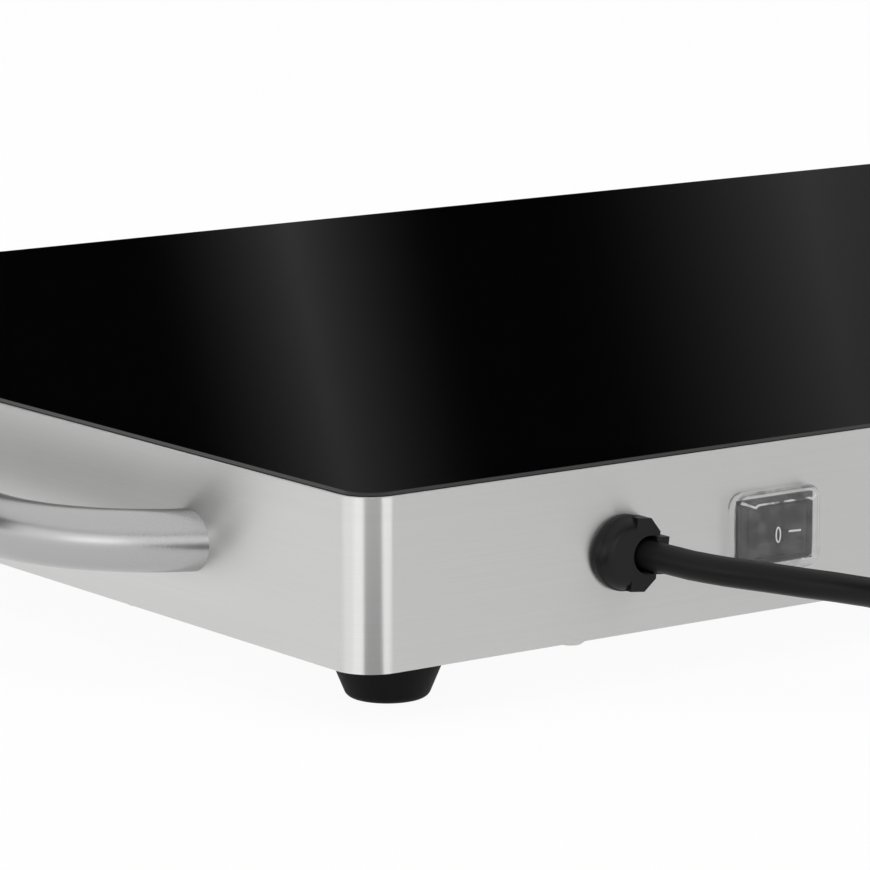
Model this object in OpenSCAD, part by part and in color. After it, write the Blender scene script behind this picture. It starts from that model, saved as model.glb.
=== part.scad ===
// Electric food warmer tray: a low brushed-steel box with a black glass top, a tube bow
// handle on each short side, rubber feet, a thermostat at the front and, on the back wall,
// the mains lead in its squeeze bushing and a 0-I rocker under a clear boot.
// Millimetres. X runs along the long walls, the front wall faces -Y, the back wall faces +Y,
// Z is up from the surface that the feet stand on.

/* [Tray] */
// Length of the tray along its front and back walls
body_w = 600; // [590:1:620]
// Depth of the tray from the front wall to the back wall
body_d = 400; // [396:1:420]
// Height of the steel wall
body_h = 43.5; // [43:0.5:48]
// Outside radius of the wall's upright corners
corner_r = 10; // [8:0.5:14]
// Thickness of the wall sheet
wall_t = 1; // [0.8:0.1:1.2]
// Width of the return flange at the foot of the wall
flange_w = 15; // [14:0.5:18]
// Thickness of the bottom cover
base_t = 1.2; // [1:0.1:1.6]

/* [Glass top] */
// Thickness of the glass
glass_t = 4; // [4:0.5:5]
// Height that the glass stands above the steel wall
glass_proud = 0.8; // [0.5:0.1:1.2]
// Gap between the edge of the glass and the wall
glass_gap = 0.6; // [0.4:0.1:1]
// Width of the polished bevel round the top edge of the glass
glass_bevel = 0.7; // [0.4:0.1:1]
// Thickness of the silicone bed under the rim of the glass
seal_t = 1; // [0.8:0.1:1.4]
// Width of the silicone bed
seal_w = 10; // [8:0.5:11]
// Width of the ledge that carries the glass
ledge_w = 12; // [12:0.5:14]
// Height of the ledge's upright leg
ledge_h = 8; // [6:0.5:8]

/* [Heated plate] */
// Distance of the heat spreader from the tray's short sides
plate_side_in = 30; // [27:0.5:34]
// Distance of the heat spreader from the tray's front and back
plate_front_in = 55; // [52:0.5:60]
// Thickness of the heat spreader
plate_t = 1.5; // [1:0.1:2]
// Diameter of the silicone-covered heating cord
heater_d = 3.2; // [3:0.1:3.6]
// Distance of the first and last run of the heating cord from the spreader's edge
heater_edge = 13; // [11:0.5:15]
// Number of runs of the heating cord
heater_runs = 12; // [8:2:12]
// Thickness of the insulation mat
mat_t = 8; // [7:0.5:9]
// Thickness of the pan's sheet
pan_t = 0.8; // [0.6:0.1:1]
// Clearance between the heated plate and the pan round it
pan_gap = 1.5; // [1:0.1:2]
// Thickness of the two cross rails
rail_t = 1; // [0.8:0.1:1.2]
// Width of the cross rails' top flange
rail_w = 16; // [15:0.5:17]

/* [Handles] */
// Diameter of the handle tube
handle_d = 16; // [14:0.5:18]
// Thickness of the handle tube's wall
handle_wall = 1.5; // [1.2:0.1:2]
// Distance between the two ends of a handle, centre to centre on the wall
handle_span = 252; // [230:1:270]
// Angle between the wall and the handle's ends
handle_angle = 65; // [60:1:68]
// Bend radius at the middle of the tube
handle_bend = 50; // [45:1:55]
// Length of the threaded plug in each end of a handle
handle_plug = 12; // [11:0.5:14]
// Diameter of the handle screws
handle_screw_d = 5; // [4:0.5:5]
// Depth of the threaded holes in the ends of a handle
handle_hole = 8.5; // [8:0.5:10]

/* [Feet] */
// Height of the feet under the wall
foot_h = 13.5; // [13:0.5:18]
// Diameter of a foot at the top
foot_top_d = 31.5; // [29:0.5:33]
// Diameter of a foot at the bottom
foot_bottom_d = 22; // [20:0.5:25]
// Radius of a foot's lower edge
foot_round = 2.5; // [1.5:0.5:3]
// Distance from each wall to the middle of a foot
foot_inset = 28; // [27:0.5:34]

/* [Mains lead] */
// Diameter of the lead
lead_d = 7.5; // [7:0.1:7.8]
// Distance of the bushing from the tray's side
gland_x = 80.2; // [76:0.1:84]
// Height of the bushing above the foot of the wall
gland_z = 21.1; // [19:0.1:24]
// Turn of the bushing in its hole, in degrees
gland_roll = 6.5; // [0:0.5:10]
// Diameter of the bushing's round flange
gland_d = 19.4; // [19:0.1:20]
// Width of the bushing's head
gland_head_w = 15.4; // [15:0.1:16]
// Height of the bushing's head
gland_head_h = 18.6; // [17.6:0.1:19]
// How far the head stands out of the wall
gland_head = 4.6; // [4:0.1:6]
// Width of the channel that the lead lies in
gland_slot = 9.8; // [9.4:0.1:10]
// Diameter of the hole in the wall for the bushing
gland_hole = 16.8; // [16.6:0.1:17.4]
// Angle at which the bushing sends the lead sideways
lead_tilt = 10; // [8:0.5:12]
// Number of turns in the coil of spare lead
coil_turns = 5; // [3:1:6]
// Radius of the coil's outer turn at the middle of the lead
coil_r = 51; // [46:0.5:60]
// Spare room between neighbouring turns
coil_gap = 0.8; // [0.5:0.1:2]

/* [Rocker switch] */
// Distance of the switch from the tray's side
switch_x = 128.3; // [124:0.1:134]
// Height of the switch above the foot of the wall
switch_z = 21.3; // [19:0.1:24]
// Length of the switch's bezel
bezel_w = 24.4; // [23.8:0.1:25]
// Height of the switch's bezel
bezel_h = 17.2; // [17:0.1:17.8]
// Thickness of the switch's bezel
bezel_t = 1.8; // [1.5:0.1:2.2]
// Depth of the switch behind the wall
switch_depth = 16; // [14:0.5:17]
// Length of the rocker's face
rocker_w = 17.6; // [17:0.1:18]
// Height of the rocker's face
rocker_h = 13; // [12.4:0.1:13]
// Tilt of the rocker to each side of its middle, in degrees
rocker_tilt = 7; // [6:0.5:8]
// Height of the rocker's face above its pivot
rocker_rise = 3.7; // [3.5:0.1:4]
// Length of the clear boot
boot_w = 28.4; // [27.6:0.1:30]
// Height of the clear boot
boot_h = 21.4; // [20.6:0.1:22.4]
// How far the boot's rim stands out of the wall
boot_rim = 3.4; // [3:0.1:3.6]
// Thickness of the boot's skin
boot_t = 0.8; // [0.6:0.1:0.9]

/* [Thermostat] */
// Distance of the thermostat from the middle of the tray
thermostat_x = 200; // [190:1:210]
// Distance of the pilot lamp from the thermostat
lamp_gap = 50; // [42:1:60]
// Diameter of the thermostat's knob
knob_d = 34; // [33:0.5:36]
// Length of the knob in front of the wall
knob_l = 17; // [16:0.5:20]
// Gap between the knob and the wall
knob_gap = 1; // [0.6:0.1:1.5]
// Diameter of the thermostat's shaft
shaft_d = 6; // [5.8:0.1:6.2]
// Width of the thermostat's body
thermostat_w = 34; // [32:1:35]
// Height of the thermostat's body
thermostat_h = 28; // [26:1:29]
// Depth of the thermostat's body behind the wall
thermostat_depth = 18; // [16:1:20]
// Distance between the thermostat's two screws
thermostat_pitch = 22; // [21:0.5:24]
// Diameter of the pilot lamp's lens
lamp_d = 12; // [11:0.5:14]

/* [Hidden] */

fine = 64;              // facets of a full circle where a curve shows
coarse = 32;            // facets of small and hidden curves
fit = 0.1;              // clearance of a part that sits in another
running = 0.05;         // radial clearance of a shaft in its bore
apart = 0.3;            // clearance of parts that move past each other
eps = 0.01;             // how far a cut runs past a face
pivot_out = -0.3;       // the rocker's pivot, from the wall's face

// levels, upwards
wall_z0 = foot_h;
wall_z1 = wall_z0 + body_h;
glass_z1 = wall_z1 + glass_proud;
glass_z0 = glass_z1 - glass_t;
ledge_z1 = glass_z0 - seal_t;
ledge_z0 = ledge_z1 - wall_t;
rail_z0 = ledge_z0 - rail_t;
pan_z1 = rail_z0;
plate_z0 = glass_z0 - plate_t;
mat_z1 = plate_z0 - heater_d;
mat_z0 = mat_z1 - mat_t;
pan_z0 = mat_z0 - pan_t;
base_z1 = wall_z0 + base_t;
flange_z1 = base_z1 + wall_t;

// plan: the origin is under the middle of the tray with its knob and boot
knob_reach = knob_gap + knob_l;
boot_out = round(10 * (pivot_out + rocker_rise * cos(rocker_tilt) + apart + boot_t
                       + rocker_w / 2 * sin(rocker_tilt))) / 10;
mid_y = (knob_reach - boot_out) / 2;
front_y = mid_y - body_d / 2;
back_y = mid_y + body_d / 2;
side_x = body_w / 2;
inner_w = body_w - 2 * wall_t;
inner_d = body_d - 2 * wall_t;
inner_r = corner_r - wall_t;
plate_w = body_w - 2 * plate_side_in;
plate_d = body_d - 2 * plate_front_in;
pan_w = plate_w + 2 * (pan_gap + pan_t);
pan_d = plate_d + 2 * (pan_gap + pan_t);
pan_flange = 12;
rail_in = pan_d / 2 + fit;
rail_out = rail_in + rail_w;
heater_pitch = (plate_d - 2 * heater_edge) / (heater_runs - 1);
heater_y0 = mid_y - plate_d / 2 + heater_edge;
heater_run = plate_w - 2 * heater_pitch;

// screws
m4 = 4;
m5 = 5;
m6_head = 10;
nut_d = 9.2;
foot_washer_d = 11;
nut_h = 4;
base_screw_in = 8;
base_end_in = 70;
base_side_in = 110;
rail_screw_x = inner_w / 2 - 6;
rail_screw_y = rail_in + rail_w / 2;
pan_screw_y = rail_in + pan_flange / 2;
foot_x = side_x - foot_inset;
foot_y = body_d / 2 - foot_inset;

// electrical places
handle_z = wall_z0 + body_h / 2;
handle_reach = round(100 * handle_bend * (1 - cos(handle_angle))) / 100;
handle_run = handle_span - round(200 * handle_bend * sin(handle_angle)) / 100;
gland_at = [side_x - gland_x, back_y, wall_z0 + gland_z];
switch_at = [side_x - switch_x, back_y, wall_z0 + switch_z];
thermostat_at = [thermostat_x, front_y, wall_z0 + body_h / 2];
lamp_at = thermostat_at - [lamp_gap, 0, 0];
lead_in = 5;            // the lead's place at the head's mouth, from the bushing's middle
tail_l = 26;            // sheathed lead inside the wall
lead_start = 0.5;       // the free lead begins this far out of the wall
block_size = [17, 18, 14];
block_x = 110;
block_at = [block_x, mid_y + rail_out + 2 + block_size[1] / 2, base_z1];
earth_at = [side_x - 60, mid_y + rail_out + 12, base_z1];
sleeve_d = 6;
sleeve_at = [60, flange_z1 + 8];
cutout_at = [215, mid_y - 105, pan_z0];
bulb_d = 6;
bulb_l = 70;
bulb_x = 105;
bulb_at = [bulb_x, heater_y0 + heater_pitch / 2, plate_z0 - bulb_d / 2 - fit];
capillary_x = bulb_at[0] + bulb_l + 13;
capillary_z = mat_z1 - 1.7;
heater_z = plate_z0 - heater_d / 2;
heater_exit = [heater_run / 2 + 14, mat_z0 + 5.5];
web_hole_z = wall_z0 + 24;
web_hole_d = 5;
cutout_wire_x = thermostat_x + 4;
bush_d = 10;
pivot_d = 2.4;
boot_lip = 0.8;         // the boot's lip between bezel and wall
terminal_l = 8;
barrel_l = 14;          // the bushing's barrel inside the wall
lead_back = (gland_head - lead_start) / cos(lead_tilt);
block_pole = 4.5;
block_bore = 6;
block_screw_d = 5;
sleeve_y0 = mid_y - rail_out - 5;
sleeve_y1 = mid_y + rail_out + 5;
core_r = 1.2;
core_n = 6;             // sides of a wire
tail_end = lead_point(lead_back + tail_l);
lead_dir = unit(lead_point(0) - tail_end);
core_side = unit(cross(lead_dir, [0, 0, 1]));
rearwards = [0, 1, 0];
forwards = [0, -1, 0];

// the lead outside: it goes down to a coil that lies behind the tray
lead_mouth = lead_point(0);
lead_r = lead_d / 2;
tie_t = 0.8;
coil_low = lead_r + tie_t + fit;
coil_high = coil_low + lead_d + 0.5;
coil_reach = 38;
coil_x = 110;
coil_centre = [coil_x, lead_mouth[1] + coil_reach + coil_r];
coil_pitch = lead_d + coil_gap;
coil_in = [coil_centre[0] + lead_d, coil_centre[1] - coil_r, coil_high];
coil_out = [coil_centre[0] - lead_d, coil_centre[1] - coil_r, coil_low];
rings_a_turn = 24;
plug_l = 52;
plug_r = 18.5;
plug_at = coil_out + [-84, 0, plug_r - coil_low];

// shapes used by several parts

// a rectangle with round corners, as exact arcs
module round_rect(w, d, r) {
    square([w - 2 * r, d], center = true);
    square([w, d - 2 * r], center = true);
    for (x = [-1, 1], y = [-1, 1])
        translate([x * (w / 2 - r), y * (d / 2 - r)])
            circle(r, $fn = fine);
}

module slab(w, d, r, z0, z1) {
    translate([0, mid_y, z0])
        linear_extrude(z1 - z0)
            round_rect(w, d, r);
}

// an upright ring of sheet, or a flat frame
module frame(w, d, r, band, z0, z1) {
    difference() {
        slab(w, d, r, z0, z1);
        slab(w - 2 * band, d - 2 * band, max(r - band, 0.5), z0 - eps, z1 + eps);
    }
}

// puts a part on the back wall: its x to the right seen from behind, its z outwards
module on_back(at) {
    translate(at)
        rotate([90, 0, 180])
            children();
}

// puts a part on the front wall: its x to the right seen from the front, its z outwards
module on_front(at) {
    translate(at)
        rotate([90, 0, 0])
            children();
}

// a pan-head screw with its head at z = 0 and below, its shank going up
module pan_screw(d, l) {
    head_d = 2 * d;
    head_h = 0.55 * d;
    recess = 0.55 * d;
    difference() {
        union() {
            cylinder(d = d, h = l, $fn = coarse);
            rotate_extrude($fn = coarse)
                polygon([[0, 0], [head_d / 2, 0], [head_d / 2, -0.6 * head_h],
                         [0.36 * head_d, -head_h], [0, -head_h]]);
        }
        for (a = [0, 90])
            rotate([0, 0, a])
                translate([0, 0, -head_h])
                    cube([d, 0.2 * d, recess], center = true);
    }
}

// points of an arc in the plane
function arc(cx, cy, r, a0, a1, n) =
    [for (i = [0:n]) [cx + r * cos(a0 + (a1 - a0) * i / n), cy + r * sin(a0 + (a1 - a0) * i / n)]];

// a tube swept along points
function unit(v) = v / norm(v);
function heading(p, i) = unit(p[min(i + 1, len(p) - 1)] - p[max(i - 1, 0)]);
function level(s, t) = unit(s - (s * t) * t);
function ring_sides(p, s0) =
    [for (i = 0, s = level(s0, heading(p, 0)); i < len(p);
          i = i + 1, s = i < len(p) ? level(s, heading(p, i)) : s) s];
function ring(c, t, s, r, n) =
    [for (k = [0:n - 1]) c + r * (cos(360 * k / n) * s + sin(360 * k / n) * cross(t, s))];

module tube(p, r, n) {
    side = ring_sides(p, abs(heading(p, 0)[2]) > 0.9 ? [1, 0, 0] : [0, 0, 1]);
    last = len(p) - 1;
    skin = [for (i = [0:last]) each ring(p[i], heading(p, i), side[i], r, n)];
    walls = [for (i = [0:last - 1], k = [0:n - 1])
             let (a = i * n + k, b = i * n + (k + 1) % n)
             each [[a, a + n, b], [b, a + n, b + n]]];
    start_cap = [for (k = [1:n - 2]) [0, k, k + 1]];
    end_cap = [for (k = [1:n - 2]) [last * n, last * n + k + 1, last * n + k]];
    polyhedron(skin, concat(walls, start_cap, end_cap));
}

// a curve between two ends that leaves each end squarely
function bezier(a, da, b, db, n) =
    [for (i = [0:n]) let (t = i / n, u = 1 - t)
     u * u * u * a + 3 * u * u * t * (a + da) + 3 * u * t * t * (b + db) + t * t * t * b];

// the steel box

module body_shell() {
    color("silver")
    difference() {
        union() {
            frame(body_w, body_d, corner_r, wall_t, wall_z0, wall_z1);
            frame(inner_w, inner_d, inner_r, flange_w - wall_t, base_z1, flange_z1);
        }
        on_back(gland_at)
            translate([0, 0, -wall_t - 1])
                cylinder(d = gland_hole, h = wall_t + 2, $fn = fine);
        on_back(switch_at)
            cube([bezel_w - 1.6, bezel_h - 1.6, 4 * wall_t], center = true);
        on_front(thermostat_at) {
            cylinder(d = bush_d + 1, h = 4 * wall_t, center = true, $fn = coarse);
            for (x = [-1, 1])
                translate([x * thermostat_pitch / 2, 0, 0])
                    cylinder(d = m4 + 2 * fit, h = 4 * wall_t, center = true, $fn = coarse);
        }
        on_front(lamp_at)
            cylinder(d = lamp_d - 2, h = 4 * wall_t, center = true, $fn = coarse);
        for (x = [-1, 1], y = [-1, 1])
            translate([x * (side_x - wall_t / 2), mid_y + y * handle_span / 2, handle_z])
                rotate([0, 90, 0])
                    cylinder(d = handle_screw_d + 2 * fit, h = 4 * wall_t, center = true,
                             $fn = coarse);
        base_screw_places()
            cylinder(d = m4 + 2 * fit, h = 3 * body_h, center = true, $fn = coarse);
    }
}

module glass_ledge() {
    w = inner_w - 2 * fit;
    d = inner_d - 2 * fit;
    color("gainsboro")
    difference() {
        union() {
            frame(w, d, inner_r - fit, wall_t, ledge_z1 - ledge_h, ledge_z1);
            frame(w, d, inner_r - fit, ledge_w, ledge_z0, ledge_z1);
        }
        // room for the thermostat
        translate([thermostat_x - thermostat_w / 2 - 3, front_y, ledge_z0 - ledge_h])
            cube([thermostat_w + 6, 4 * wall_t, ledge_h]);
        rail_screw_places()
            cylinder(d = m4 + 2 * fit, h = 3 * wall_t, center = true, $fn = coarse);
    }
}

module glass_seal() {
    w = inner_w - 2 * fit;
    d = inner_d - 2 * fit;
    lip = glass_gap - 2 * fit;
    color("black") {
        frame(w, d, inner_r - fit, seal_w, ledge_z1, glass_z0);
        frame(w, d, inner_r - fit, lip, glass_z0, wall_z1 - wall_t);
    }
}

module glass_top() {
    w = inner_w - 2 * glass_gap;
    d = inner_d - 2 * glass_gap;
    r = inner_r - glass_gap;
    color([0.03, 0.03, 0.035])
    hull() {
        slab(w, d, r, glass_z0, glass_z1 - glass_bevel);
        slab(w - 2 * glass_bevel, d - 2 * glass_bevel, r - glass_bevel, glass_z0, glass_z1);
    }
}

module base_plate() {
    slot_w = 3.5;
    slot_l = 40;
    slot_pitch = 9;
    slots = 9;
    color("silver")
    difference() {
        slab(inner_w - 2 * fit, inner_d - 2 * fit, inner_r - fit, wall_z0, base_z1);
        base_screw_places()
            cylinder(d = m4 + 2 * fit, h = 3 * body_h, center = true, $fn = coarse);
        foot_places()
            cylinder(d = m5 + 2 * fit, h = 3 * body_h, center = true, $fn = coarse);
        translate([earth_at[0], earth_at[1], wall_z0])
            cylinder(d = m4 + 2 * fit, h = 4 * base_t, center = true, $fn = coarse);
        for (x = [-1, 1], y = [-1, 1], i = [0:slots - 1])
            translate([x * 150 + (i - (slots - 1) / 2) * slot_pitch, mid_y + y * 100, wall_z0])
                linear_extrude(4 * base_t, center = true)
                    round_rect(slot_w, slot_l, slot_w / 2 - eps);
    }
}

// where the screws of the bottom cover go
module base_screw_places() {
    for (x = [-1, 0, 1], y = [-1, 1])
        translate([x * (side_x - base_end_in), mid_y + y * (body_d / 2 - base_screw_in), 0])
            children();
    for (x = [-1, 1], y = [-1, 1])
        translate([x * (side_x - base_screw_in), mid_y + y * (body_d / 2 - base_side_in), 0])
            children();
}

module base_screws() {
    color("lightgray")
    base_screw_places()
        translate([0, 0, wall_z0])
            pan_screw(m4, 8);
}

// the heated plate and what carries it

module heat_spreader() {
    color("gainsboro")
    translate([0, mid_y, plate_z0 + plate_t / 2])
        cube([plate_w, plate_d, plate_t], center = true);
}

module heating_cord() {
    z = plate_z0 - heater_d / 2;
    color("firebrick") {
        for (i = [0:heater_runs - 1])
            translate([0, heater_y0 + i * heater_pitch, z])
                rotate([0, 90, 0])
                    cylinder(d = heater_d, h = heater_run, center = true, $fn = coarse);
        for (i = [0:heater_runs - 2])
            translate([(i % 2 == 0 ? -1 : 1) * heater_run / 2,
                       heater_y0 + (i + 0.5) * heater_pitch, z])
                rotate([0, 0, i % 2 == 0 ? 90 : -90])
                    rotate_extrude(angle = 180, $fn = fine)
                        translate([heater_pitch / 2, 0])
                            circle(d = heater_d, $fn = coarse);
    }
}

module insulation_mat() {
    groove = bulb_d + 2;
    color("ivory")
    difference() {
        translate([-plate_w / 2, mid_y - plate_d / 2, mat_z0])
            cube([plate_w, plate_d, mat_t]);
        translate([bulb_at[0] - 5, bulb_at[1] - groove / 2, bulb_at[2] - groove / 2])
            cube([bulb_l + 25, groove, groove + mat_t]);
        translate([capillary_x - 7, mid_y - plate_d, bulb_at[2] - groove / 2])
            cube([14, bulb_at[1] - mid_y + plate_d, groove + mat_t]);
        for (y = [-1, 1])
            translate([heater_exit[0], mid_y + y * plate_d / 2, heater_exit[1]])
                cube([18, 40, 5], center = true);
        for (y = [-1, 1])
            translate([heater_exit[0], mid_y + y * plate_d / 2, mat_z1])
                cube([18, 40, 5], center = true);
    }
}

module insulation_pan() {
    color("darkgray")
    difference() {
        translate([-pan_w / 2, mid_y - pan_d / 2, pan_z0])
            union() {
                cube([pan_w, pan_d, pan_z1 - pan_z0]);
                translate([0, -pan_flange, pan_z1 - pan_z0 - pan_t])
                    cube([pan_w, pan_d + 2 * pan_flange, pan_t]);
            }
        translate([-pan_w / 2 + pan_t, mid_y - pan_d / 2 + pan_t, mat_z0])
            cube([pan_w - 2 * pan_t, pan_d - 2 * pan_t, body_h]);
        pan_screw_places()
            cylinder(d = m4 + 2 * fit, h = 4 * pan_t, center = true, $fn = coarse);
        translate([capillary_x, mid_y - pan_d / 2, capillary_z])
            rotate([90, 0, 0])
                cylinder(d = 4, h = 4 * pan_t, center = true, $fn = coarse);
        for (y = [-1, 1])
            translate([heater_exit[0], mid_y + y * pan_d / 2, heater_exit[1]])
                rotate([90, 0, 0])
                    cylinder(d = heater_d + 1, h = 4 * pan_t, center = true, $fn = coarse);
    }
}

// one cross rail, for the front (side = -1) or the rear (side = 1)
module rail(side) {
    web_y = rail_out - rail_t;
    color("darkgray")
    translate([0, mid_y, 0])
        difference() {
            union() {
                translate([-inner_w / 2 + wall_t + 2 * fit, side > 0 ? rail_in : -rail_out, rail_z0])
                    cube([inner_w - 2 * wall_t - 4 * fit, rail_w, rail_t]);
                translate([-inner_w / 2 + flange_w, side > 0 ? web_y : -rail_out, flange_z1 + fit])
                    cube([inner_w - 2 * flange_w, rail_t, rail_z0 - flange_z1 - fit]);
            }
            for (x = [-1, 1])
                translate([x * rail_screw_x, side * rail_screw_y, rail_z0])
                    cylinder(d = m4 + 2 * fit, h = 4 * rail_t, center = true, $fn = coarse);
            for (i = [-2:2])
                translate([i * plate_w / 5, side * pan_screw_y, rail_z0])
                    cylinder(d = m4 + 2 * fit, h = 4 * rail_t, center = true, $fn = coarse);
            translate([sleeve_at[0], side * (rail_out - rail_t / 2), sleeve_at[1]])
                rotate([90, 0, 0])
                    cylinder(d = sleeve_d + 4, h = 4 * rail_t, center = true, $fn = coarse);
            for (x = side > 0 ? [heater_exit[0]] : [capillary_x, cutout_wire_x])
                translate([x, side * (rail_out - rail_t / 2), web_hole_z])
                    rotate([90, 0, 0])
                        cylinder(d = web_hole_d, h = 4 * rail_t, center = true, $fn = coarse);
        }
}

module front_rail() {
    rail(-1);
}

module rear_rail() {
    rail(1);
}

module rail_screw_places() {
    for (x = [-1, 1], y = [-1, 1])
        translate([x * rail_screw_x, mid_y + y * rail_screw_y, ledge_z0])
            children();
}

module rail_screws() {
    color("lightgray")
    rail_screw_places()
        translate([0, 0, -rail_t])
            pan_screw(m4, rail_t + wall_t - fit);
}

module pan_screw_places() {
    for (i = [-2:2], y = [-1, 1])
        translate([i * plate_w / 5, mid_y + y * pan_screw_y, pan_z1 - pan_t])
            children();
}

module pan_screws() {
    color("lightgray")
    pan_screw_places()
        pan_screw(m4, pan_t + rail_t + 1);
}

// handles

// a thing at the rear end of a handle and its mirror image at the front end
module both_ends() {
    children();
    mirror([0, 1, 0])
        children();
}

// a handle's middle run and its bends, drawn with a tube of radius r, each bend by angle
module bow(r, angle) {
    translate([handle_reach, handle_run / 2, 0])
        rotate([90, 0, 0])
            cylinder(r = r, h = handle_run, $fn = fine);
    both_ends()
        translate([handle_reach - handle_bend, handle_run / 2, 0])
            rotate_extrude(angle = angle, $fn = 2 * fine)
                translate([handle_bend, 0])
                    circle(r, $fn = fine);
}

// a tube with a threaded plug in each end, cut off along the wall
module handle() {
    past_wall = 180 / PI * handle_d / handle_bend;
    plug = 180 / PI * handle_plug / handle_bend;
    difference() {
        bow(handle_d / 2, handle_angle + past_wall);
        translate([-2 * handle_d, -handle_span, -handle_d])
            cube([2 * handle_d, 2 * handle_span, 2 * handle_d]);
        bow(handle_d / 2 - handle_wall, handle_angle - plug);
        both_ends()
            translate([-1, handle_span / 2, 0])
                rotate([0, 90, 0])
                    cylinder(d = handle_screw_d + 2 * fit, h = handle_hole + 1, $fn = coarse);
    }
}

module right_handle() {
    color("lightgray")
    translate([side_x, mid_y, handle_z])
        handle();
}

module left_handle() {
    color("lightgray")
    translate([-side_x, mid_y, handle_z])
        mirror([1, 0, 0])
            handle();
}

module handle_screws() {
    washer_t = 1;
    washer_d = 12;
    color("lightgray")
    for (x = [-1, 1], y = [-1, 1])
        translate([x * (inner_w / 2 - washer_t), mid_y + y * handle_span / 2, handle_z])
            rotate([0, x * 90, 0]) {
                pan_screw(handle_screw_d, washer_t + wall_t + handle_hole - 0.5);
                cylinder(d = washer_d, h = washer_t, $fn = coarse);
            }
}

// feet

module foot_places() {
    for (x = [-1, 1], y = [-1, 1])
        translate([x * foot_x, mid_y + y * foot_y, 0])
            children();
}

module foot(x, y) {
    r = foot_bottom_d / 2;
    recess_d = 12;
    recess_h = foot_h - 4;
    slope = atan2(foot_top_d / 2 - r, foot_h);
    color([0.07, 0.07, 0.07])
    translate([x * foot_x, mid_y + y * foot_y, 0])
        rotate_extrude($fn = fine)
            polygon(concat([[recess_d / 2, recess_h], [recess_d / 2, 0]],
                           arc(r - foot_round, foot_round, foot_round, -90, -slope, 6),
                           [[foot_top_d / 2, foot_h], [m5 / 2 + fit, foot_h],
                            [m5 / 2 + fit, recess_h]]));
}

module foot_front_left() {
    foot(-1, -1);
}

module foot_front_right() {
    foot(1, -1);
}

module foot_rear_left() {
    foot(-1, 1);
}

module foot_rear_right() {
    foot(1, 1);
}

module foot_screws() {
    washer_t = 1;
    color("lightgray")
    foot_places()
        translate([0, 0, foot_h - 4 - washer_t]) {
            pan_screw(m5, washer_t + 4 + base_t + 6);
            cylinder(d = foot_washer_d, h = washer_t, $fn = coarse);
        }
}

module foot_nuts() {
    color("lightgray")
    foot_places()
        translate([0, 0, base_z1])
            difference() {
                cylinder(d = nut_d, h = nut_h, $fn = 6);
                translate([0, 0, -1])
                    cylinder(d = m5 + 2 * fit, h = nut_h + 2, $fn = coarse);
            }
}

// the bushing that holds the mains lead, seen from behind: x right, z outwards

// puts a part on the slanting line of the lead, x = at where the line leaves the head
module along_lead(at) {
    translate([at, 0, gland_head])
        rotate([0, lead_tilt, 0])
            children();
}

module bushing_body() {
    rim = 1;
    flange_t = 2.2;
    cut = 3.3;
    shoulder = 3.2;
    w = gland_head_w / 2;
    h = gland_head_h / 2;
    slot = gland_slot / 2;
    color([0.09, 0.09, 0.09])
    on_back(gland_at)
        rotate([0, 0, -gland_roll])
            difference() {
                union() {
                    rotate_extrude($fn = fine)
                        polygon(concat([[0, 0], [gland_d / 2, 0]],
                                       arc(gland_d / 2 - rim, flange_t - rim, rim, 0, 90, 5),
                                       [[0, flange_t]]));
                    // the head: a round shoulder on the left, chamfered on the right
                    rotate_extrude($fn = fine)
                        polygon(concat([[0, 0], [h, 0]],
                                       arc(h - shoulder, gland_head - shoulder, shoulder, 0, 90, 8),
                                       [[0, gland_head]]));
                    linear_extrude(gland_head)
                        polygon([[w, cut - h], [w, h - cut], [w - cut, h], [0, h], [0, -h],
                                 [w - cut, -h]]);
                    translate([0, 0, -barrel_l])
                        cylinder(r = gland_hole / 2 - apart, h = barrel_l + eps, $fn = fine);
                    // barbs that hold behind the wall
                    for (a = [90, 270])
                        rotate([0, 0, a])
                            translate([gland_hole / 2 - 1, -2, -wall_t - 3.2])
                                cube([1.6, 4, 3]);
                }
                // the channel for the lead, open to the right
                along_lead(slot) {
                    cylinder(r = slot, h = 4 * barrel_l, center = true, $fn = fine);
                    translate([0, -slot, -2 * barrel_l])
                        cube([gland_d, 2 * slot, 4 * barrel_l]);
                }
            }
}

module bushing_jaw() {
    half_w = gland_slot / 2 - 0.15;
    out = 5.4;
    color([0.1, 0.1, 0.1])
    on_back(gland_at)
        rotate([0, 0, -gland_roll])
            difference() {
                union() {
                    translate([lead_in + 1.2, -half_w, eps])
                        cube([gland_d / 2 + 0.4 - lead_in - 1.2, 2 * half_w, out - eps]);
                    intersection() {
                        translate([lead_in + 1.2, -half_w, -barrel_l + 1])
                            cube([gland_hole, 2 * half_w, barrel_l]);
                        translate([0, 0, -barrel_l])
                            cylinder(r = gland_hole / 2 - apart, h = 2 * barrel_l, $fn = fine);
                    }
                }
                along_lead(lead_in)
                    cylinder(r = lead_d / 2 + 0.15, h = 4 * barrel_l, center = true, $fn = fine);
            }
}

// the sheathed end of the lead inside the tray, up to where the free lead begins
module supply_tail() {
    color([0.06, 0.06, 0.06])
    on_back(gland_at)
        rotate([0, 0, -gland_roll])
            along_lead(lead_in)
                translate([0, 0, -lead_back - tail_l])
                    cylinder(d = lead_d, h = tail_l, $fn = coarse);
}

// the rocker switch, seen from behind: x right, z outwards

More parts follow.
